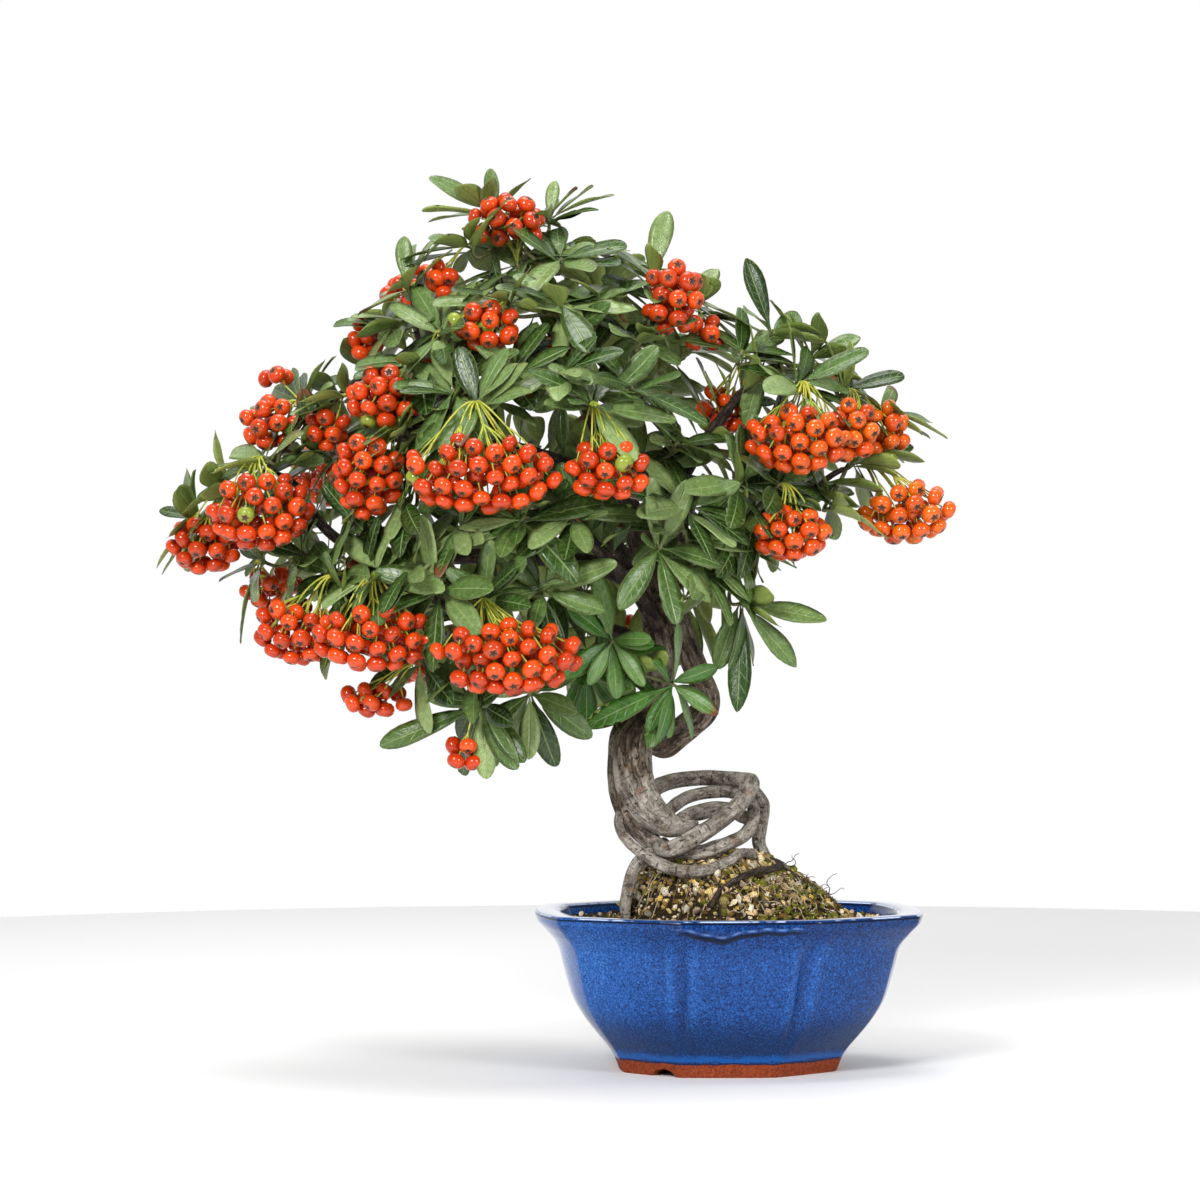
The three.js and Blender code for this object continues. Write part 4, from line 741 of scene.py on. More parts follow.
def capped_faces(rows, around):
    """Faces of rings of points, one ring per row, closed at both ends: quads between the rings, and
    triangles from the first and the last ring to two poles that follow the rings in the list of points."""
    ring = np.arange(around)
    following = (ring + 1) % around
    last = (rows - 1) * around
    pole = np.full(around, rows * around)
    return [ring_faces(rows, around), np.concatenate([
        np.stack([following, ring, pole], axis=-1),
        np.stack([last + ring, last + following, pole + 1], axis=-1),
    ])]


def tube(path, radius, around, swell=0.0):
    """Points and faces of a round tube: a circle of the radius, times one plus the swell, square to the
    path at each of its points, with a pole at each end."""
    _, side, other = carried_sides(path)
    angle = np.arange(around) * 2 * math.pi / around
    reach = np.broadcast_to(radius[:, None] * (1 + swell), (len(path), around))[..., None]
    outward = outward_at(side[:, None], other[:, None], angle[:, None])
    points = (path[:, None] + reach * outward).reshape(-1, 3)
    return np.concatenate([points, path[:1], path[-1:]]), capped_faces(len(path), around)


def way_along(path):
    """Length of the path up to each of its points."""
    return np.concatenate([[0], np.cumsum(np.linalg.norm(np.diff(path, axis=0), axis=-1))])


SEAM_SIDE = np.array([-0.86, -0.5, 0])


def barked(heap, rows, around, spacing, ridge, knots, age, seam=0.0):
    """Adds a limb with its bark relief: low waves that run along the limb and slowly round it, a few
    swellings at knots, and where asked a narrow seam down the side that looks to the front left. The age
    is one number, or rows of a length along the limb and the age there."""
    length = way_along(limb_path(rows, 60)[0])[-1]
    steps = max(6, int(length / spacing))
    path, radius = limb_path(rows, steps)
    along = way_along(path)
    s = along[:, None]
    t = np.linspace(0, 1, steps)[:, None]
    angle = (np.arange(around) * 2 * math.pi / around)[None]
    swell = ridge * (np.sin(3 * angle + 4 * t) + np.sin(9 * t + 2 * angle))
    swell = swell + 0.022 * np.sin(5 * angle + 0.11 * s + 1.3 * np.sin(0.17 * s))
    swell = swell + 0.014 * np.sin(8 * angle - 0.23 * s + np.sin(0.4 * s + 2 * angle))
    _, side, other = carried_sides(path)
    outward = outward_at(side[:, None], other[:, None], angle[..., None])
    on_seam = seam * np.clip((outward @ SEAM_SIDE - 0.965 - 0.015 * np.sin(0.3 * s)) / 0.02, 0, 1)
    swell = swell + 0.05 * on_seam
    for k in range(knots):
        away = (s - length * (k + 0.6) / knots) / 2.2
        swell = swell + 0.11 * np.exp(-away ** 2 - (1 - np.cos(angle - 2.1 * k)) / 0.9)
    points, faces = tube(path, radius, around, swell)
    unrolled = np.dstack([np.cos(angle) * radius[:, None], np.sin(angle) * radius[:, None],
                          np.broadcast_to(s, (steps, around))]).reshape(-1, 3)
    unrolled = np.concatenate([unrolled, [[0, 0, 0], [0, 0, along[-1]]]])
    ages = np.interp(along, *zip(*age)) if isinstance(age, list) else np.full(steps, float(age))
    ages = np.concatenate([np.repeat(ages, around), ages[[0, -1]]])
    heap.add(points, faces, grain=unrolled, age=ages, seam=np.concatenate([on_seam.ravel(), [0, 0]]))


wood_heap = Heap()
# Points around a limb, its ridges and knots, its age and its seam.
TRUNK_AGES = [(0, 1), (24, 1), (38, 0.75), (90, 0.7), (140, 0.45), (200, 0.3)]
STEM_AGES = [(0, 0.9), (30, 0.75), (90, 0.7), (120, 0.45), (150, 0.25), (250, 0.2)]
COILED_ROOT = (16, 0.012, 6, 1.0, 0.0)
LOOKS = {"trunk": (40, 0.04, 3, TRUNK_AGES, 1.0), "second_stem": (24, 0.02, 5, STEM_AGES, 0.0),
         "dark_root": (12, 0.012, 6, 0.05, 0.0)}
for name, rows in ROOTS.items():
    around, ridge, knots, age, seam = LOOKS.get(name, COILED_ROOT)
    barked(wood_heap, rows, around, 1.1, ridge, knots, age, seam)
for rows in BRANCHES.values():
    barked(wood_heap, rows, 12, 1.8, 0.02, 4, 0.22)

# Each twig leaves the nearest place on a branch or high on the second stem and ends in a hub, the point
# where the stems of its spray begin.
places_on_wood = [row for rows in BRANCHES.values() for row in rows[2:]] + ROOTS["second_stem"][12:]
places_on_wood = np.array(places_on_wood)[:, :3]
hubs = []
for _, rosettes, _ in SPRAYS:
    middle = np.mean(rosettes, axis=0)
    gaps = np.linalg.norm(places_on_wood - middle, axis=-1)
    root = places_on_wood[gaps.argmin()]
    hub = middle + (root - middle) * (0.55 if gaps.min() < 14 else 0.4)
    root = root - TWIG_INSET * unit(middle - root)
    bend = (root + hub) / 2 + UP * 0.12 * np.linalg.norm(hub - root)
    path = bend_path(root, bend, hub, 9)
    radii = np.linspace(1.08, 0.88, len(path)) * TWIG_RADIUS
    barked(wood_heap, np.column_stack([path, radii]), 8, 1.6, 0.02, 3, 0.1)
    hubs.append((hub, unit(hub - bend), path))

bark, start, shader = new_material("grey_bark")
patch = object_place(start).noise(0.11, 4, 0.6, 0.3)
grain = start.vector("grain")
age = start.number("age")
seam = start.number("seam")
fibre = grain.times((1, 1, 0.28)).noise(0.5, 6, 0.7, 0.9)
fine = grain.times((1, 1, 0.6)).noise(1.9, 4, 0.7, 0.4)
pit = grain.times((1, 1, 0.7)).noise(0.62, 3, 0.6).between(0.62, 0.68)
check = grain.times((0.26, 0.26, 1.3)).noise(0.85, 3, 0.55, 0.2).between(0.6, 0.65)
scar = grain.times((0.5, 0.5, 1.2)).noise(0.36, 3, 0.5).between(0.62, 0.67)
grooves = fibre * 0.75 + fine * 0.25
young = grooves.ramp(
    (0.38, (0.012, 0.009, 0.008)), (0.5, (0.05, 0.036, 0.029)), (0.62, (0.18, 0.135, 0.11)))
rough_bark = grooves.ramp(
    (0.4, (0.022, 0.014, 0.009)), (0.46, (0.085, 0.06, 0.041)), (0.53, (0.225, 0.172, 0.126)),
    (0.61, (0.5, 0.42, 0.335)))
grey_skin = (fibre * 0.65 + fine * 0.35).ramp(
    (0.38, (0.08, 0.062, 0.046)), (0.45, (0.21, 0.177, 0.142)), (0.52, (0.36, 0.318, 0.268)),
    (0.62, (0.68, 0.64, 0.57)))
coat(shader, {
    "Base Color": painted(
        young,
        (age.between(0.25, 0.6), 1, rough_bark),
        (age.between(0.78, 0.95), 1, grey_skin),
        (patch.between(0.52, 0.6) * age.between(0.4, 1.0), 0.5, (0.54, 0.5, 0.43)),
        ((1 - patch).between(0.52, 0.6) * age, 0.4, (0.07, 0.05, 0.036)),
        (scar * age, 0.5, (0.26, 0.12, 0.05)),
        (pit, 0.8, (0.022, 0.015, 0.01)),
        (check * age.between(0.6, 0.95), 0.7, (0.045, 0.03, 0.02)),
        (seam, 0.85, (0.6, 0.54, 0.45))),
    "Roughness": fibre * 0.25 + 0.6,
    "Normal": (fibre + fine * 0.4 - pit * 0.6 - check * 0.5 + seam * 0.5).bump(1.0, 0.0018),
}, Specular_IOR_Level=0.2)
wood = wood_heap.made("gnarled_wood", [bark])
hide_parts("wood")
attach(wood, "root")

# Fine roots: dark threads and pale hairs, grown out of the root ball and left when it was combed out. The
# threads lie among the grains, the hairs stand out on the right, a few of them long.
THREADS = 470
HAIRS = 60
LONG_HAIRS = 11
THREAD_POINTS = 9
HAIR_STEPS = 14
root_heap = Heap()
rng = np.random.default_rng(23)
thread_x, thread_y = MOUND_REACH - 5
for _ in range(THREADS):
    turn = rng.uniform(0, 2 * math.pi)
    reach = math.sqrt(rng.uniform(0.02, 1))
    head = rng.uniform(0, 2 * math.pi)
    step = rng.uniform(5, 15) / (THREAD_POINTS - 1)
    sway = head + np.cumsum(rng.uniform(-0.7, 0.7, THREAD_POINTS))
    x = MOUND_MIDDLE + thread_x * reach * math.cos(turn) + np.cumsum(np.cos(sway)) * step
    y = thread_y * reach * math.sin(turn) + np.cumsum(np.sin(sway)) * step
    arch = 0.9 + 1.6 * np.sin(np.linspace(0, math.pi, THREAD_POINTS)) * rng.uniform(0, 1)
    path = np.column_stack([x, y, soil_height(x, y) + arch])
    root_heap.add_tube(path, 0.3, 0.12, 5, pale=rng.uniform(0, 1) ** 0.7)
for k in range(HAIRS):
    long = k < LONG_HAIRS
    base = np.array([rng.uniform(18, 40), rng.uniform(-22, 4), 0.0])
    base[2] = soil_height(base[0], base[1])
    heading = rng.uniform(-0.4, 0.8)
    bends = heading + np.cumsum(rng.normal(0, 0.42 if long else 0.3, HAIR_STEPS))
    step = (rng.uniform(8, 15) if long else rng.uniform(2, 5)) / HAIR_STEPS
    drift = rng.uniform(-0.5, 0.5)
    line = np.column_stack([np.cos(bends), np.full(HAIR_STEPS, drift), np.sin(bends)]) * step
    path = base + np.vstack([np.zeros(3), np.cumsum(line, axis=0)])
    path[:, 2] = np.maximum(path[:, 2], soil_height(path[:, 0], path[:, 1]) + 0.3)
    root_heap.add_tube(path, 0.26 if long else 0.2, 0.1, 5, pale=rng.uniform(0, 0.5 if long else 0.9))
root_skin, start, shader = new_material("root_threads")
tint = object_place(start).noise(0.8, 2)
coat(shader, {
    "Base Color": (start.number("pale") + tint * 0.2).ramp(
        (0.1, (0.012, 0.01, 0.008)), (0.55, (0.05, 0.03, 0.015)), (0.8, (0.3, 0.21, 0.11)),
        (1.0, (0.45, 0.36, 0.22))),
    "Roughness": tint * 0.2 + 0.6,
})
fine_roots = root_heap.made("fine_roots", [root_skin])
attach(fine_roots, "root")

# Leaves: leathery, narrow blades, widest past their middle, on short stalks in rosettes at the ends of
# green stems. The upper face is dark and satiny with a pale midrib, the lower one lighter, partly by its
# own colour and partly by painted light shining through it.
LEAVES_OF_A_ROSETTE = 9
STEM_RADIUS = 0.75
GOLDEN_ANGLE = 2.399963
GOLDEN_SHARE = 0.618034
CROWN_CENTRE = np.array([-60, 0, 222.0])
FRONT = np.array([0, -1.0, 0])
LEAF_STATIONS = np.array([0, 0.05, 0.1, 0.18, 0.28, 0.4, 0.52, 0.64, 0.75, 0.85, 0.93, 0.98])
# The eight points round a leaf: their place across it, their height in half thicknesses, and how far each
# belongs to the underside.
ACROSS = np.array([1, 0.5, 0, -0.5, -1, -0.5, 0, 0.5])
FACE = np.array([0, -1, -1.9, -1, 0, 1, 0.7, 1])
UNDERSIDE = np.array([0.5, 1, 1, 1, 0.5, 0, 0, 0])


def blade_width(u):
    """Half width of a leaf along its length, as a share of the widest: a stretched sine to about the
    power one half, which gives a round tip, narrowed to the leaf's stalk at the foot."""
    body = np.sin(math.pi * np.clip(u, 0, 1) ** 1.65) ** 0.53
    rise = np.clip(u / 0.34, 0, 1)
    return body * rise * rise * (3 - 2 * rise) + 0.07 * (1 - u)


def blades(base, along, upper, length, half_width, curl, sway, phase):
    """Leaves, one per row of the arguments. Each is a closed grid of eight points round and twelve
    stations along: sideways goes the width, upward the fold along the midrib, a wave of the edges and the
    thickness, downward the square of the way along, for the bend."""
    along = unit(along)
    normal = unit(upper - along * np.sum(upper * along, axis=-1, keepdims=True))
    side = np.cross(along, normal)
    tip = base + length[:, None] * (along + sway[:, None] * side - curl[:, None] * normal)
    u = LEAF_STATIONS[None, :, None]
    length, half_width, curl, sway, phase = (
        v[:, None, None] for v in (length, half_width, curl, sway, phase))
    half = half_width * blade_width(u)
    sideways = half * ACROSS + sway * length * u * u
    fold = 0.2 * half * np.abs(ACROSS) ** 1.4
    wave = 0.022 * length * ACROSS * np.sin(9 * u + phase) * u
    height = fold + wave + 0.16 * FACE * (1 - 0.5 * u) - curl * length * u * u
    points = (base[:, None, None] + (u * length)[..., None] * along[:, None, None]
              + sideways[..., None] * side[:, None, None] + height[..., None] * normal[:, None, None])
    return np.concatenate([points.reshape(len(base), -1, 3), base[:, None], tip[:, None]], axis=1)


BLADE_FACES = capped_faces(len(LEAF_STATIONS), len(ACROSS))
BLADE_U = np.concatenate([np.repeat(LEAF_STATIONS, len(ACROSS)), [0, 1]])
BLADE_V = np.concatenate([np.tile(ACROSS, len(LEAF_STATIONS)), [0, 0]])
BLADE_UNDER = np.concatenate([np.tile(UNDERSIDE, len(LEAF_STATIONS)), [0.5, 0.5]])

leaf_skin, start, shader = new_material("leathery_leaf")
place = object_place(start)
on_leaf = start.vector("leaf")
state = start.vector("state")
u, v, tone = (on_leaf.part(axis) for axis in "XYZ")
under, brown, fresh = (state.part(axis) for axis in "XYZ")
edge = v.math("ABSOLUTE")
mottle = place.noise(0.5, 4, 0.6)
fleck = place.noise(2.0, 3, 0.6).between(0.68, 0.74)
net = on_leaf.times((26, 7, 0)).noise(1.0, 3, 0.6, 0.4)
veins = ((u * 8.5 - edge * 1.15) * (2 * math.pi)).math("SINE").between(0.72, 1.0)
veins = veins * (1 - edge.between(0.75, 0.95))
rib = 1 - edge.between(0.025, 0.1)
top = (tone * 0.6 + mottle * 0.4).ramp(
    (0.24, (0.014, 0.04, 0.003)), (0.42, (0.048, 0.1, 0.015)), (0.6, (0.116, 0.19, 0.05)),
    (0.8, (0.25, 0.34, 0.12)))
# The paler underside: partly the leaf's own paler underside, partly painted light shining through leaves
# lit from behind.
low = (tone * 0.5 + mottle * 0.5).ramp((0.3, (0.14, 0.2, 0.035)), (0.7, (0.32, 0.4, 0.09)))
withered = (brown * (u + mottle * 0.24 + edge * 0.1)).between(0.86, 1.0)
coat(shader, {
    "Base Color": painted(
        top,
        (fresh, 1, (0.045, 0.17, 0.012)),
        (under.between(0.35, 0.65), 1, low),
        (net.between(0.5, 0.66), 0.22, (0.02, 0.05, 0.018)),
        (veins, 0.28, (0.16, 0.26, 0.1)),
        (rib, 0.6, (0.26, 0.36, 0.13)),
        (edge.between(0.9, 0.99), 0.55, (0.3, 0.34, 0.12)),
        (fleck, 0.5, (0.5, 0.53, 0.44)),
        (withered, 1, (0.14, 0.05, 0.016))),
    "Roughness": mottle * 0.3 + under * 0.3 + 0.09,
    "Normal": (rib * -0.8 - veins * 0.35 + net * 0.35).bump(0.6, 0.0005),
}, Specular_IOR_Level=0.5)
stem_skin, start, shader = new_material("green_stem")
tint = object_place(start).noise(0.5, 4)
coat(shader, {
    "Base Color": tint.ramp(
        (0.3, (0.05, 0.05, 0.022)), (0.5, (0.13, 0.13, 0.045)), (0.7, (0.2, 0.22, 0.07))),
    "Roughness": tint * 0.25 + 0.45,
    "Normal": tint.bump(0.4, 0.0003),
})


def seeded(seed):
    """A generator of the same numbers from 0 to 1 on each run: a 32-bit counter whose bits are mixed."""
    state = seed

    def following():
        nonlocal state
        state = (state + 0x6D2B79F5) & 0xFFFFFFFF
        t = (state ^ (state >> 15)) * (state | 1) & 0xFFFFFFFF
        t = t ^ ((t + ((t ^ (t >> 7)) * (t | 61) & 0xFFFFFFFF)) & 0xFFFFFFFF)
        return ((t ^ (t >> 14)) & 0xFFFFFFFF) / 4294967296

    return following


def growth(place):
    """Direction in which a shoot at a place grows: 0.8 of the way out of the crown plus 0.55 up."""
    return unit(0.8 * unit(place - CROWN_CENTRE) + 0.55 * UP)


def facing_out(place):
    """Level direction out of the crown at a place, the side on which the light falls."""
    return unit((place - CROWN_CENTRE) * [1, 1, 0])


def rosette_leaves(tip, axis, index, count, scale):
    """The leaves of a rosette, as rows of base, direction, upper side, length, half width and curl. Each
    is turned by the golden angle from the last round the axis, and opened from it by an angle that steps
    through its range by the golden ratio. Lengths follow the opening."""
    rnd = seeded(1000 + 17 * index)
    side = unit(np.cross([0.37, -0.61, 0.2], axis))
    other = np.cross(axis, side)
    upper = 0.6 * axis + 0.4 * UP + 0.5 * facing_out(tip)
    leaves = []
    for k in range(count):
        base = tip - (0.3 + 0.45 * k) * axis
        turn = k * GOLDEN_ANGLE + 0.6 * rnd() + index
        spread = (0.35 + k * GOLDEN_SHARE) % 1
        opening = math.radians(36 + 62 * spread + 8 * (rnd() - 0.5))
        along = unit(outward_at(axis, outward_at(side, other, turn), opening) - UP * 0.12)
        length = scale * (18.5 + 8 * spread + 7.5 * rnd())
        leaves.append((base, along, upper, length, (0.15 + 0.03 * rnd()) * length, 0.05 + 0.15 * rnd()))
    return leaves


def leaves_along(path, count, first, rng):
    """Single leaves up a stem, as such rows: at every second point of its path, each turned by the golden
    angle from the one below and opened by 45 to 70 degrees from the stem."""
    tangents, side, other = carried_sides(path)
    leaves = []
    for k in range(count):
        where = first + 2 * k
        turn = k * GOLDEN_ANGLE + rng.uniform(0, 6)
        opening = math.radians(rng.uniform(45, 70))
        out = outward_at(side[where], other[where], turn)
        along = unit(outward_at(tangents[where], out, opening) - UP * 0.1)
        upper = 0.4 * tangents[where] + 0.5 * UP + 0.5 * facing_out(path[where])
        length = rng.uniform(20, 29)
        leaves.append((path[where], along, upper, length, 0.16 * length, rng.uniform(0.05, 0.18)))
    return leaves


def add_leaves(heap, leaves, fresh, rng):
    """Adds the leaves to a heap, each with its own tone, sway and wave, a few with a browned tip."""
    number = len(leaves)
    rows = [np.array(column) for column in zip(*leaves)]
    shapes = blades(*rows, rng.uniform(-0.07, 0.07, number), rng.uniform(0, 6, number))
    tones = rng.uniform(0.02, 0.98, number)
    browned = np.where(rng.uniform(0, 1, number) < 0.035, rng.uniform(0.88, 0.96, number), 0)
    freshness = fresh * rng.uniform(0.6, 1, number)
    same = np.ones(len(BLADE_U))
    for shape, tone_of, brown_of, fresh_of in zip(shapes, tones, browned, freshness):
        leaf = np.column_stack([BLADE_U, BLADE_V, tone_of * same])
        state_of = np.column_stack([BLADE_UNDER, brown_of * same, fresh_of * same])
        heap.add(shape, BLADE_FACES, 0, leaf=leaf, state=state_of)


# Sprays with young, fresh green leaves, and with small ones.
FRESH = {"trunk_low": 0.75, "right_hanging": 0.1}
SMALL = {"trunk_low": 0.82}
rosette_index = 0
for (name, rosettes, reaching), (hub, direction, twig) in zip(SPRAYS, hubs):
    heap = Heap()
    rng = np.random.default_rng(300 + rosette_index)
    leaves = leaves_along(twig, 3 if np.linalg.norm(twig[-1] - twig[0]) > 14 else 1, 2, rng)
    first_path = None
    for r, tip in enumerate(np.array(rosettes, dtype=float)):
        axis = growth(tip)
        begin = hub if first_path is None else first_path[5]
        leave = direction if first_path is None else unit(tip - begin)
        end = tip - 3.6 * axis
        reach = np.linalg.norm(end - begin)
        t = np.linspace(0, 1, 13)[:, None]
        first = begin + 0.35 * reach * leave
        second = end - 0.35 * reach * axis
        path = (1 - t) ** 3 * begin + 3 * t * (1 - t) ** 2 * first
        path = path + 3 * t * t * (1 - t) * second + t ** 3 * end
        path = np.vstack([path, end + 1.8 * axis, tip])
        if first_path is None:
            first_path = path
        heap.add_tube(path, 1.15 * STEM_RADIUS, 0.9 * STEM_RADIUS, 8, 1, leaf=(0, 0, 0), state=(0, 0, 0))
        goals = [np.array(goal, dtype=float) for which, goal in reaching if which == r]
        for k, goal in enumerate(goals):
            base = tip - (0.8 + 0.5 * k) * axis
            length = np.linalg.norm(goal - base)
            upper = 0.3 * axis + 0.5 * UP + 0.8 * FRONT
            leaves.append((base, goal - base, upper, length, min(0.165 * length, 4.6), 0.05))
        ordinary = LEAVES_OF_A_ROSETTE - len(goals) // 2
        leaves += rosette_leaves(tip, axis, rosette_index + r, ordinary, SMALL.get(name, 1))
        leaves += leaves_along(path, min(4, int(reach / 8)), 3, rng)
    add_leaves(heap, leaves, FRESH.get(name, 0.0), rng)
    spray = heap.made(f"spray_{name}", [leaf_skin, stem_skin])
    if f"leaves_{name}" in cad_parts:
        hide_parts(f"leaves_{name}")
    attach(spray, "root")
    rosette_index += len(rosettes)

# Leaves on old wood: two from each of the short spurs that stand along the outer two thirds of the
# branches. They close the inside of the crown.
SPUR_STEPS = range(13, 40, 3)
heap = Heap()
rng = np.random.default_rng(91)
leaves = []
for rows in BRANCHES.values():
    path, radius = limb_path(rows, 40)
    tangents, side, other = carried_sides(path)
    for where in SPUR_STEPS:
        for turn in rng.uniform(0, 2 * math.pi, 2):
            out = outward_at(side[where], other[where], turn)
            base = path[where] + out * radius[where] * 0.8
            along = unit(0.8 * out + 0.4 * tangents[where] + 0.2 * UP)
            upper = 0.5 * UP + 0.6 * facing_out(path[where])
            length = rng.uniform(18, 27)
            leaves.append((base, along, upper, length, 0.16 * length, rng.uniform(0, 0.2)))
add_leaves(heap, leaves, 0.1, rng)
spur_leaves = heap.made("spur_leaves", [leaf_skin])
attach(spur_leaves, "root")

# Berries: small glossy pomes that hang in bunches on thin green stalks, each with the dark five-pointed
# remains of its flower at the far end.
# Bunches: name, middle, half sizes, number of berries, tip of the rosette that it hangs from.
BUNCHES = [
    ["top", [-86, -13, 328], [15, 10, 11], 18, [-82, -8, 313]],
    ["upper_left_high", [-111, -22, 305], [6, 5, 10], 6, [-100, -14, 320]],
    ["upper_left", [-141, -12, 282], [6, 6, 11], 7, [-130, -20, 288]],
    ["upper_centre", [-93, -54, 285], [15, 9, 9], 16, [-85, -44, 296]],
    ["left_shoulder", [-131, -52, 258], [15, 11, 12], 27, [-118, -46, 272]],
    ["left_front", [-137, -60, 229], [13, 11, 17], 30, [-126, -54, 247]],
    ["centre", [-94, -84, 229], [30, 13, 15], 58, [-96, -72, 256]],
    ["centre_right", [-47, -80, 230], [16, 10, 11], 24, [-53, -72, 256]],
    ["left", [-179, -42, 216], [20, 14, 15], 44, [-179, -30, 237]],
    ["far_left", [-203, -12, 203], [14, 12, 11], 24, [-194, -14, 225]],
    ["left_high", [-177, -20, 250], [12, 10, 10], 15, [-166, -12, 259]],
    ["left_back_low", [-178, 4, 186], [12, 10, 9], 13, [-183, -2, 198]],
    ["low_left", [-164, -44, 171], [17, 12, 14], 30, [-151, -40, 192]],
    ["low_front", [-135, -66, 168], [23, 12, 13], 38, [-133, -58, 193]],
    ["low_centre", [-85, -80, 161], [29, 13, 14], 54, [-93, -70, 183]],
    ["hanging_left", [-135, -42, 144], [15, 9, 6], 12, [-119, -46, 159]],
    ["hanging", [-101, -48, 124], [9, 7, 6], 5, [-96, -48, 142]],
    ["right", [25, -38, 243], [20, 13, 13], 40, [27, -26, 266]],
    ["right_high", [60, -6, 247], [10, 10, 12], 16, [46, -8, 264]],
    ["far_right", [68, -14, 216], [19, 13, 12], 32, [50, -6, 236]],
    ["right_low", [23, -34, 207], [15, 11, 10], 24, [20, -26, 227]],
    ["high_right", [-22, -38, 297], [12, 10, 14], 18, [-30, -18, 307]],
    ["inner_right", [-2, -2, 256], [11, 10, 10], 14, [5, -20, 278]],
    ["back_left_high", [-124, 60, 306], [14, 11, 12], 20, [-126, 46, 290]],
    ["back_left", [-160, 72, 234], [17, 13, 14], 32, [-151, 56, 255]],
    ["back_low", [-121, 82, 160], [22, 13, 13], 36, [-131, 66, 181]],
    ["back_centre", [-70, 98, 224], [24, 13, 14], 42, [-75, 84, 244]],
    ["back_low_right", [-45, 84, 164], [16, 12, 12], 25, [-56, 72, 185]],
    ["back_right", [22, 64, 232], [18, 12, 13], 30, [6, 52, 254]],
    ["inner_left", [-108, -36, 270], [11, 8, 9], 12, [-111, -42, 285]],
    ["left_tip", [-175, -8, 268], [8, 6, 6], 3, [-166, -12, 259]],
    ["left_inner", [-154, -34, 247], [9, 8, 8], 9, [-147, -32, 261]],
    ["right_outer", [46, -26, 247], [11, 9, 12], 17, [46, -8, 264]],
    ["right_inner", [-10, -22, 284], [8, 7, 8], 6, [-14, -10, 298]],
    ["middle_inner", [-62, -30, 276], [9, 8, 8], 7, [-50, -26, 297]],
    ["low_inner", [-140, -34, 190], [12, 8, 8], 11, [-151, -40, 192]],
]
BERRY_RADIUS = 3.8
BERRY_FLATNESS = 0.83
BERRY_AROUND = 12
# Way from the stalk end to the flower end as an angle in degrees, and how far the skin is drawn in there.
BERRY_PROFILE = np.array([
    [10, 0.16], [35, 0.03], [62, 0], [88, 0], [114, 0], [138, 0.01], [156, 0.08], [168, 0.2], [174, 0.27],
])
STALK_RADIUS = 0.37
BERRIES_PER_STALK = 3.4


def spread_out(centres, middle, reach, apart):
    """Moves the centres of berries until they lie clear of each other inside an ellipsoid: each pair
    closer than the least distance is pushed apart, and each centre outside is drawn back to the surface."""
    for _ in range(90):
        gap = centres[:, None] - centres[None]
        distance = np.linalg.norm(gap, axis=-1) + np.eye(len(centres)) * 1e3
        push = np.clip(apart - distance, 0, None) / distance
        centres = centres + 0.5 * np.sum(gap * push[..., None], axis=1)
        out = np.linalg.norm((centres - middle) / reach, axis=-1, keepdims=True)
        centres = np.where(out > 1, middle + (centres - middle) / out, centres)
    return centres


def berry_form():
    """A berry of radius 1 that stands on its stalk end: rings on a flattened ball, its height lessened by
    the share that the profile gives, so that both ends are dented, and the two poles."""
    polar = np.radians(BERRY_PROFILE[:, 0])
    rise = -np.cos(polar) * BERRY_FLATNESS * (1 - BERRY_PROFILE[:, 1])
    turn = np.arange(BERRY_AROUND) * 2 * math.pi / BERRY_AROUND
    rings = np.sin(polar)[:, None, None] * np.stack([np.cos(turn), np.sin(turn)], axis=-1)
    rings = np.dstack([rings, np.repeat(rise[:, None], BERRY_AROUND, axis=1)])
    return np.vstack([rings.reshape(-1, 3), [0, 0, rise[0] + 0.02], [0, 0, rise[-1] - 0.02]])


BERRY = berry_form()
BERRY_FACES = capped_faces(len(BERRY_PROFILE), BERRY_AROUND)


def turned_berries(centres, axes, sizes):
    """The form of a berry, scaled, turned so that its height lies along the axis, and moved to the
    centre, for each row of the arguments."""
    side = unit(np.cross(axes, [0.31, 0.52, 0.79]))
    turned = BERRY @ np.stack([side, np.cross(axes, side), axes], axis=1)
    return centres[:, None] + turned * sizes[:, None, None]


berry_skin, start, shader = new_material("berry_skin")
place = object_place(start)
bx, by, bz = (start.vector("on_berry").part(axis) for axis in "XYZ")
orange, dark, unripe = (start.vector("hue").part(axis) for axis in "XYZ")
blotch = place.noise(0.32, 3)
freckle = place.noise(2.2, 3, 0.6).between(0.66, 0.74)
from_middle = (bx * bx + by * by).math("SQRT")
point_angle = by.math("ARCTAN2", bx)
star_reach = (point_angle * 5.0).math("COSINE") * 0.11 + freckle * 0.05 + 0.3
flower_end = bz.between(0.3, 0.5)
star = (star_reach - from_middle).between(-0.02, 0.05) * flower_end
tan_rim = (star_reach + 0.13 - from_middle).between(-0.03, 0.05) * flower_end
stalk_dent = (0.24 - from_middle).between(0.0, 0.1) * (1 - bz.between(-0.6, -0.4))
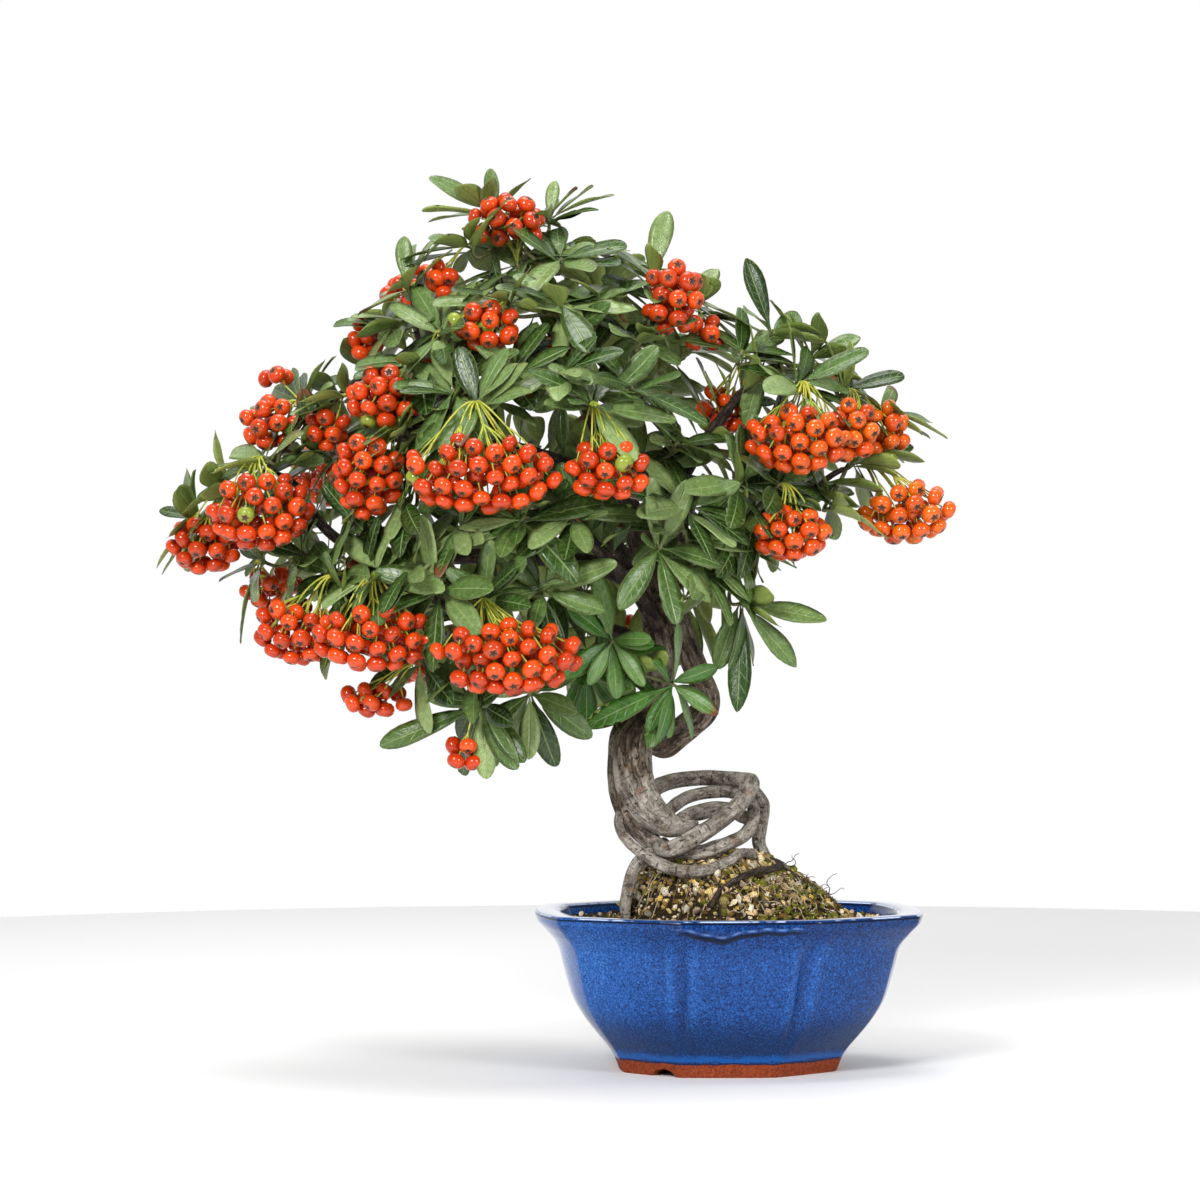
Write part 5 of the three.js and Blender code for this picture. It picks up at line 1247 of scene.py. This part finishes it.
# The darkness mixed into the red is partly each berry's own tone, partly painted shade on the berries
# inside a bunch.
red = (blotch * 0.5 + dark * 0.5).ramp(
    (0.25, (0.7, 0.056, 0.004)), (0.5, (0.5, 0.022, 0.002)), (0.75, (0.27, 0.004, 0.001)))
coat(shader, {
    "Base Color": painted(
        red,
        (orange * 0.75 + blotch * 0.1, 1, (0.72, 0.15, 0.004)),
        (bz * 0.5 + 0.5, 0.22, (0.76, 0.12, 0.008)),
        (freckle, 0.2, (0.9, 0.34, 0.08)),
        (unripe, 1, (0.2, 0.32, 0.035)),
        (stalk_dent, 0.6, (0.3, 0.2, 0.04)),
        (tan_rim, 0.8, (0.26, 0.09, 0.028)),
        (star, 0.93, (0.022, 0.013, 0.009))),
    "Roughness": star * 0.5 + blotch * 0.1 + 0.12,
    "Normal": (star * -0.8 + tan_rim * 0.5 + freckle * 0.06).bump(0.7, 0.0005),
}, Specular_IOR_Level=0.5)
stalk_skin, start, shader = new_material("berry_stalk")
tint = object_place(start).noise(0.3, 3)
coat(shader, {
    "Base Color": tint.ramp((0.3, (0.2, 0.29, 0.03)), (0.5, (0.4, 0.43, 0.04)), (0.7, (0.58, 0.48, 0.07))),
    "Roughness": tint * 0.2 + 0.4,
})

no_berry = {"on_berry": (0, 0, 0), "hue": (0, 0, 0)}
for index, (name, middle, half, count, anchor) in enumerate(BUNCHES):
    rng = np.random.default_rng(700 + index)
    middle, half, anchor = (np.array(v, dtype=float) for v in (middle, half, anchor))
    axis = growth(anchor)
    # The centres begin in a spiral over three quarters of an ellipsoid, every fourth one half as far out.
    toward = unit(middle - anchor)
    side = unit(np.cross(toward, [0.23, 0.71, 0.4]))
    k = np.arange(count)
    steep = 1 - 1.45 * (k + 0.5) / count
    level = outward_at(side, np.cross(toward, side), (k * GOLDEN_ANGLE)[:, None])
    sphere = steep[:, None] * toward + np.sqrt(1 - steep ** 2)[:, None] * level
    reach = np.maximum(half - 0.55 * BERRY_RADIUS, 1.5)
    depth = np.where(k % 4 == 3, 0.5, 1.0) * rng.uniform(0.86, 1.0, count)
    centres = middle + sphere * reach * depth[:, None]
    centres = spread_out(centres + rng.normal(0, 0.8, (count, 3)), middle, reach, 2.02 * BERRY_RADIUS)
    # Main stalks go from the rosette to forks, each of which carries the berries nearest to one of them.
    from_rosette = anchor - 0.6 * axis
    branches = max(1, round(count / BERRIES_PER_STALK))
    seeds = centres[np.arange(branches) * count // branches]
    branch_of = np.linalg.norm(centres[:, None] - seeds[None], axis=-1).argmin(axis=1)
    goals = np.array([centres[branch_of == b].mean(axis=0) for b in range(branches)])
    forks = from_rosette + 0.55 * (goals - from_rosette) + 0.1 * axis * np.linalg.norm(middle - anchor)
    axes = unit(unit(centres - forks[branch_of]) + 0.45 * unit(centres - middle) - 0.2 * UP
                + rng.normal(0, 0.16, (count, 3)))
    sizes = BERRY_RADIUS * rng.uniform(0.88, 1.04, count)
    orange_of = np.clip((centres[:, 0] - 5) / 45, 0, 1) * rng.uniform(0.1, 1, count)
    # Painted shade: berries inside the bunch are darkened; the others get a random darkness of their own.
    inside = np.linalg.norm((centres - middle) / half, axis=-1) < 0.5
    tone_and_shade_of = np.where(inside, 0.9, rng.uniform(0, 0.8, count))
    green_of = np.where(rng.uniform(0, 1, count) < 0.025, 0.9, 0)
    heap = Heap()
    for shape, *tint_of in zip(turned_berries(centres, axes, sizes), orange_of, tone_and_shade_of, green_of):
        heap.add(shape, BERRY_FACES, 0, on_berry=BERRY, hue=np.tile(tint_of, (len(BERRY), 1)))
    for fork in forks:
        bend = from_rosette + axis * 0.3 * np.linalg.norm(fork - from_rosette) + 0.2 * (fork - from_rosette)
        path = bend_path(from_rosette, bend, fork, 9)
        heap.add_tube(path, 1.2 * STALK_RADIUS, 0.95 * STALK_RADIUS, 6, 1, **no_berry)
    for centre, berry_axis, size, root in zip(centres, axes, sizes, forks[branch_of]):
        end = centre - berry_axis * size * 0.76
        bend = (root + end) / 2 + UP * 0.12 * np.linalg.norm(end - root) - berry_axis * 1.2
        path = bend_path(root, bend + rng.normal(0, 0.5, 3), end, 7)
        heap.add_tube(path, 1.05 * STALK_RADIUS, 0.85 * STALK_RADIUS, 5, 1, **no_berry)
    bunch = heap.made(f"bunch_{name}", [berry_skin, stalk_skin])
    if f"berries_{name}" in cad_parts:
        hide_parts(f"berries_{name}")
    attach(bunch, "root")

# Studio: a round plain pale floor in a white surround, one large soft lamp overhead and two at the front.
# The surround lights the tree less than the lamps do, and is darker in what mirrors the camera's side.
bpy.ops.mesh.primitive_circle_add(vertices=128, radius=0.85, fill_type="NGON", location=pot_foot.tolist())
floor = bpy.context.object
floor.name = "floor"
floor_paint, start, shader = new_material("floor_paint")
shader.inputs["Base Color"].default_value = (0.86, 0.86, 0.86, 1)
shader.inputs["Roughness"].default_value = 0.6
floor.data.materials.append(floor_paint)

world = bpy.data.worlds.new("studio")
bpy.context.scene.world = world
world.use_nodes = True
surround = Wire(world.node_tree)
diffuse = surround.node("ShaderNodeLightPath", {}, {}, "Is Diffuse Ray")
glossy = surround.node("ShaderNodeLightPath", {}, {}, "Is Glossy Ray")
toward_backdrop = surround.node("ShaderNodeTexCoord", {}, {}, 0).part("Y").between(-0.3, 0.9)
strength = diffuse * -0.6 + glossy * (1 - toward_backdrop) * -0.7 + 1
world.node_tree.links.new(strength.socket, world.node_tree.nodes["Background"].inputs["Strength"])
world.node_tree.nodes["Background"].inputs["Color"].default_value = (1, 1, 1, 1)
for name, spot, size, power in (
        ("overhead", (-100, 100, 1500), 0.8, 13),
        ("key", (-620, -1250, 850), 0.42, 20),
        ("fill", (950, -1100, 600), 0.42, 10)):
    lamp_data = bpy.data.lights.new(name, "AREA")
    lamp_data.size = size
    lamp_data.energy = power
    lamp = bpy.data.objects.new(name, lamp_data)
    bpy.context.collection.objects.link(lamp)
    place_of_lamp = placed(spot)
    toward = unit(placed((-50, 0, 150)) - place_of_lamp)
    lamp.location = place_of_lamp
    lamp.rotation_euler = (math.acos(-toward[2]), 0, math.atan2(-toward[0], toward[1]))
bpy.context.scene.view_settings.view_transform = "Standard"
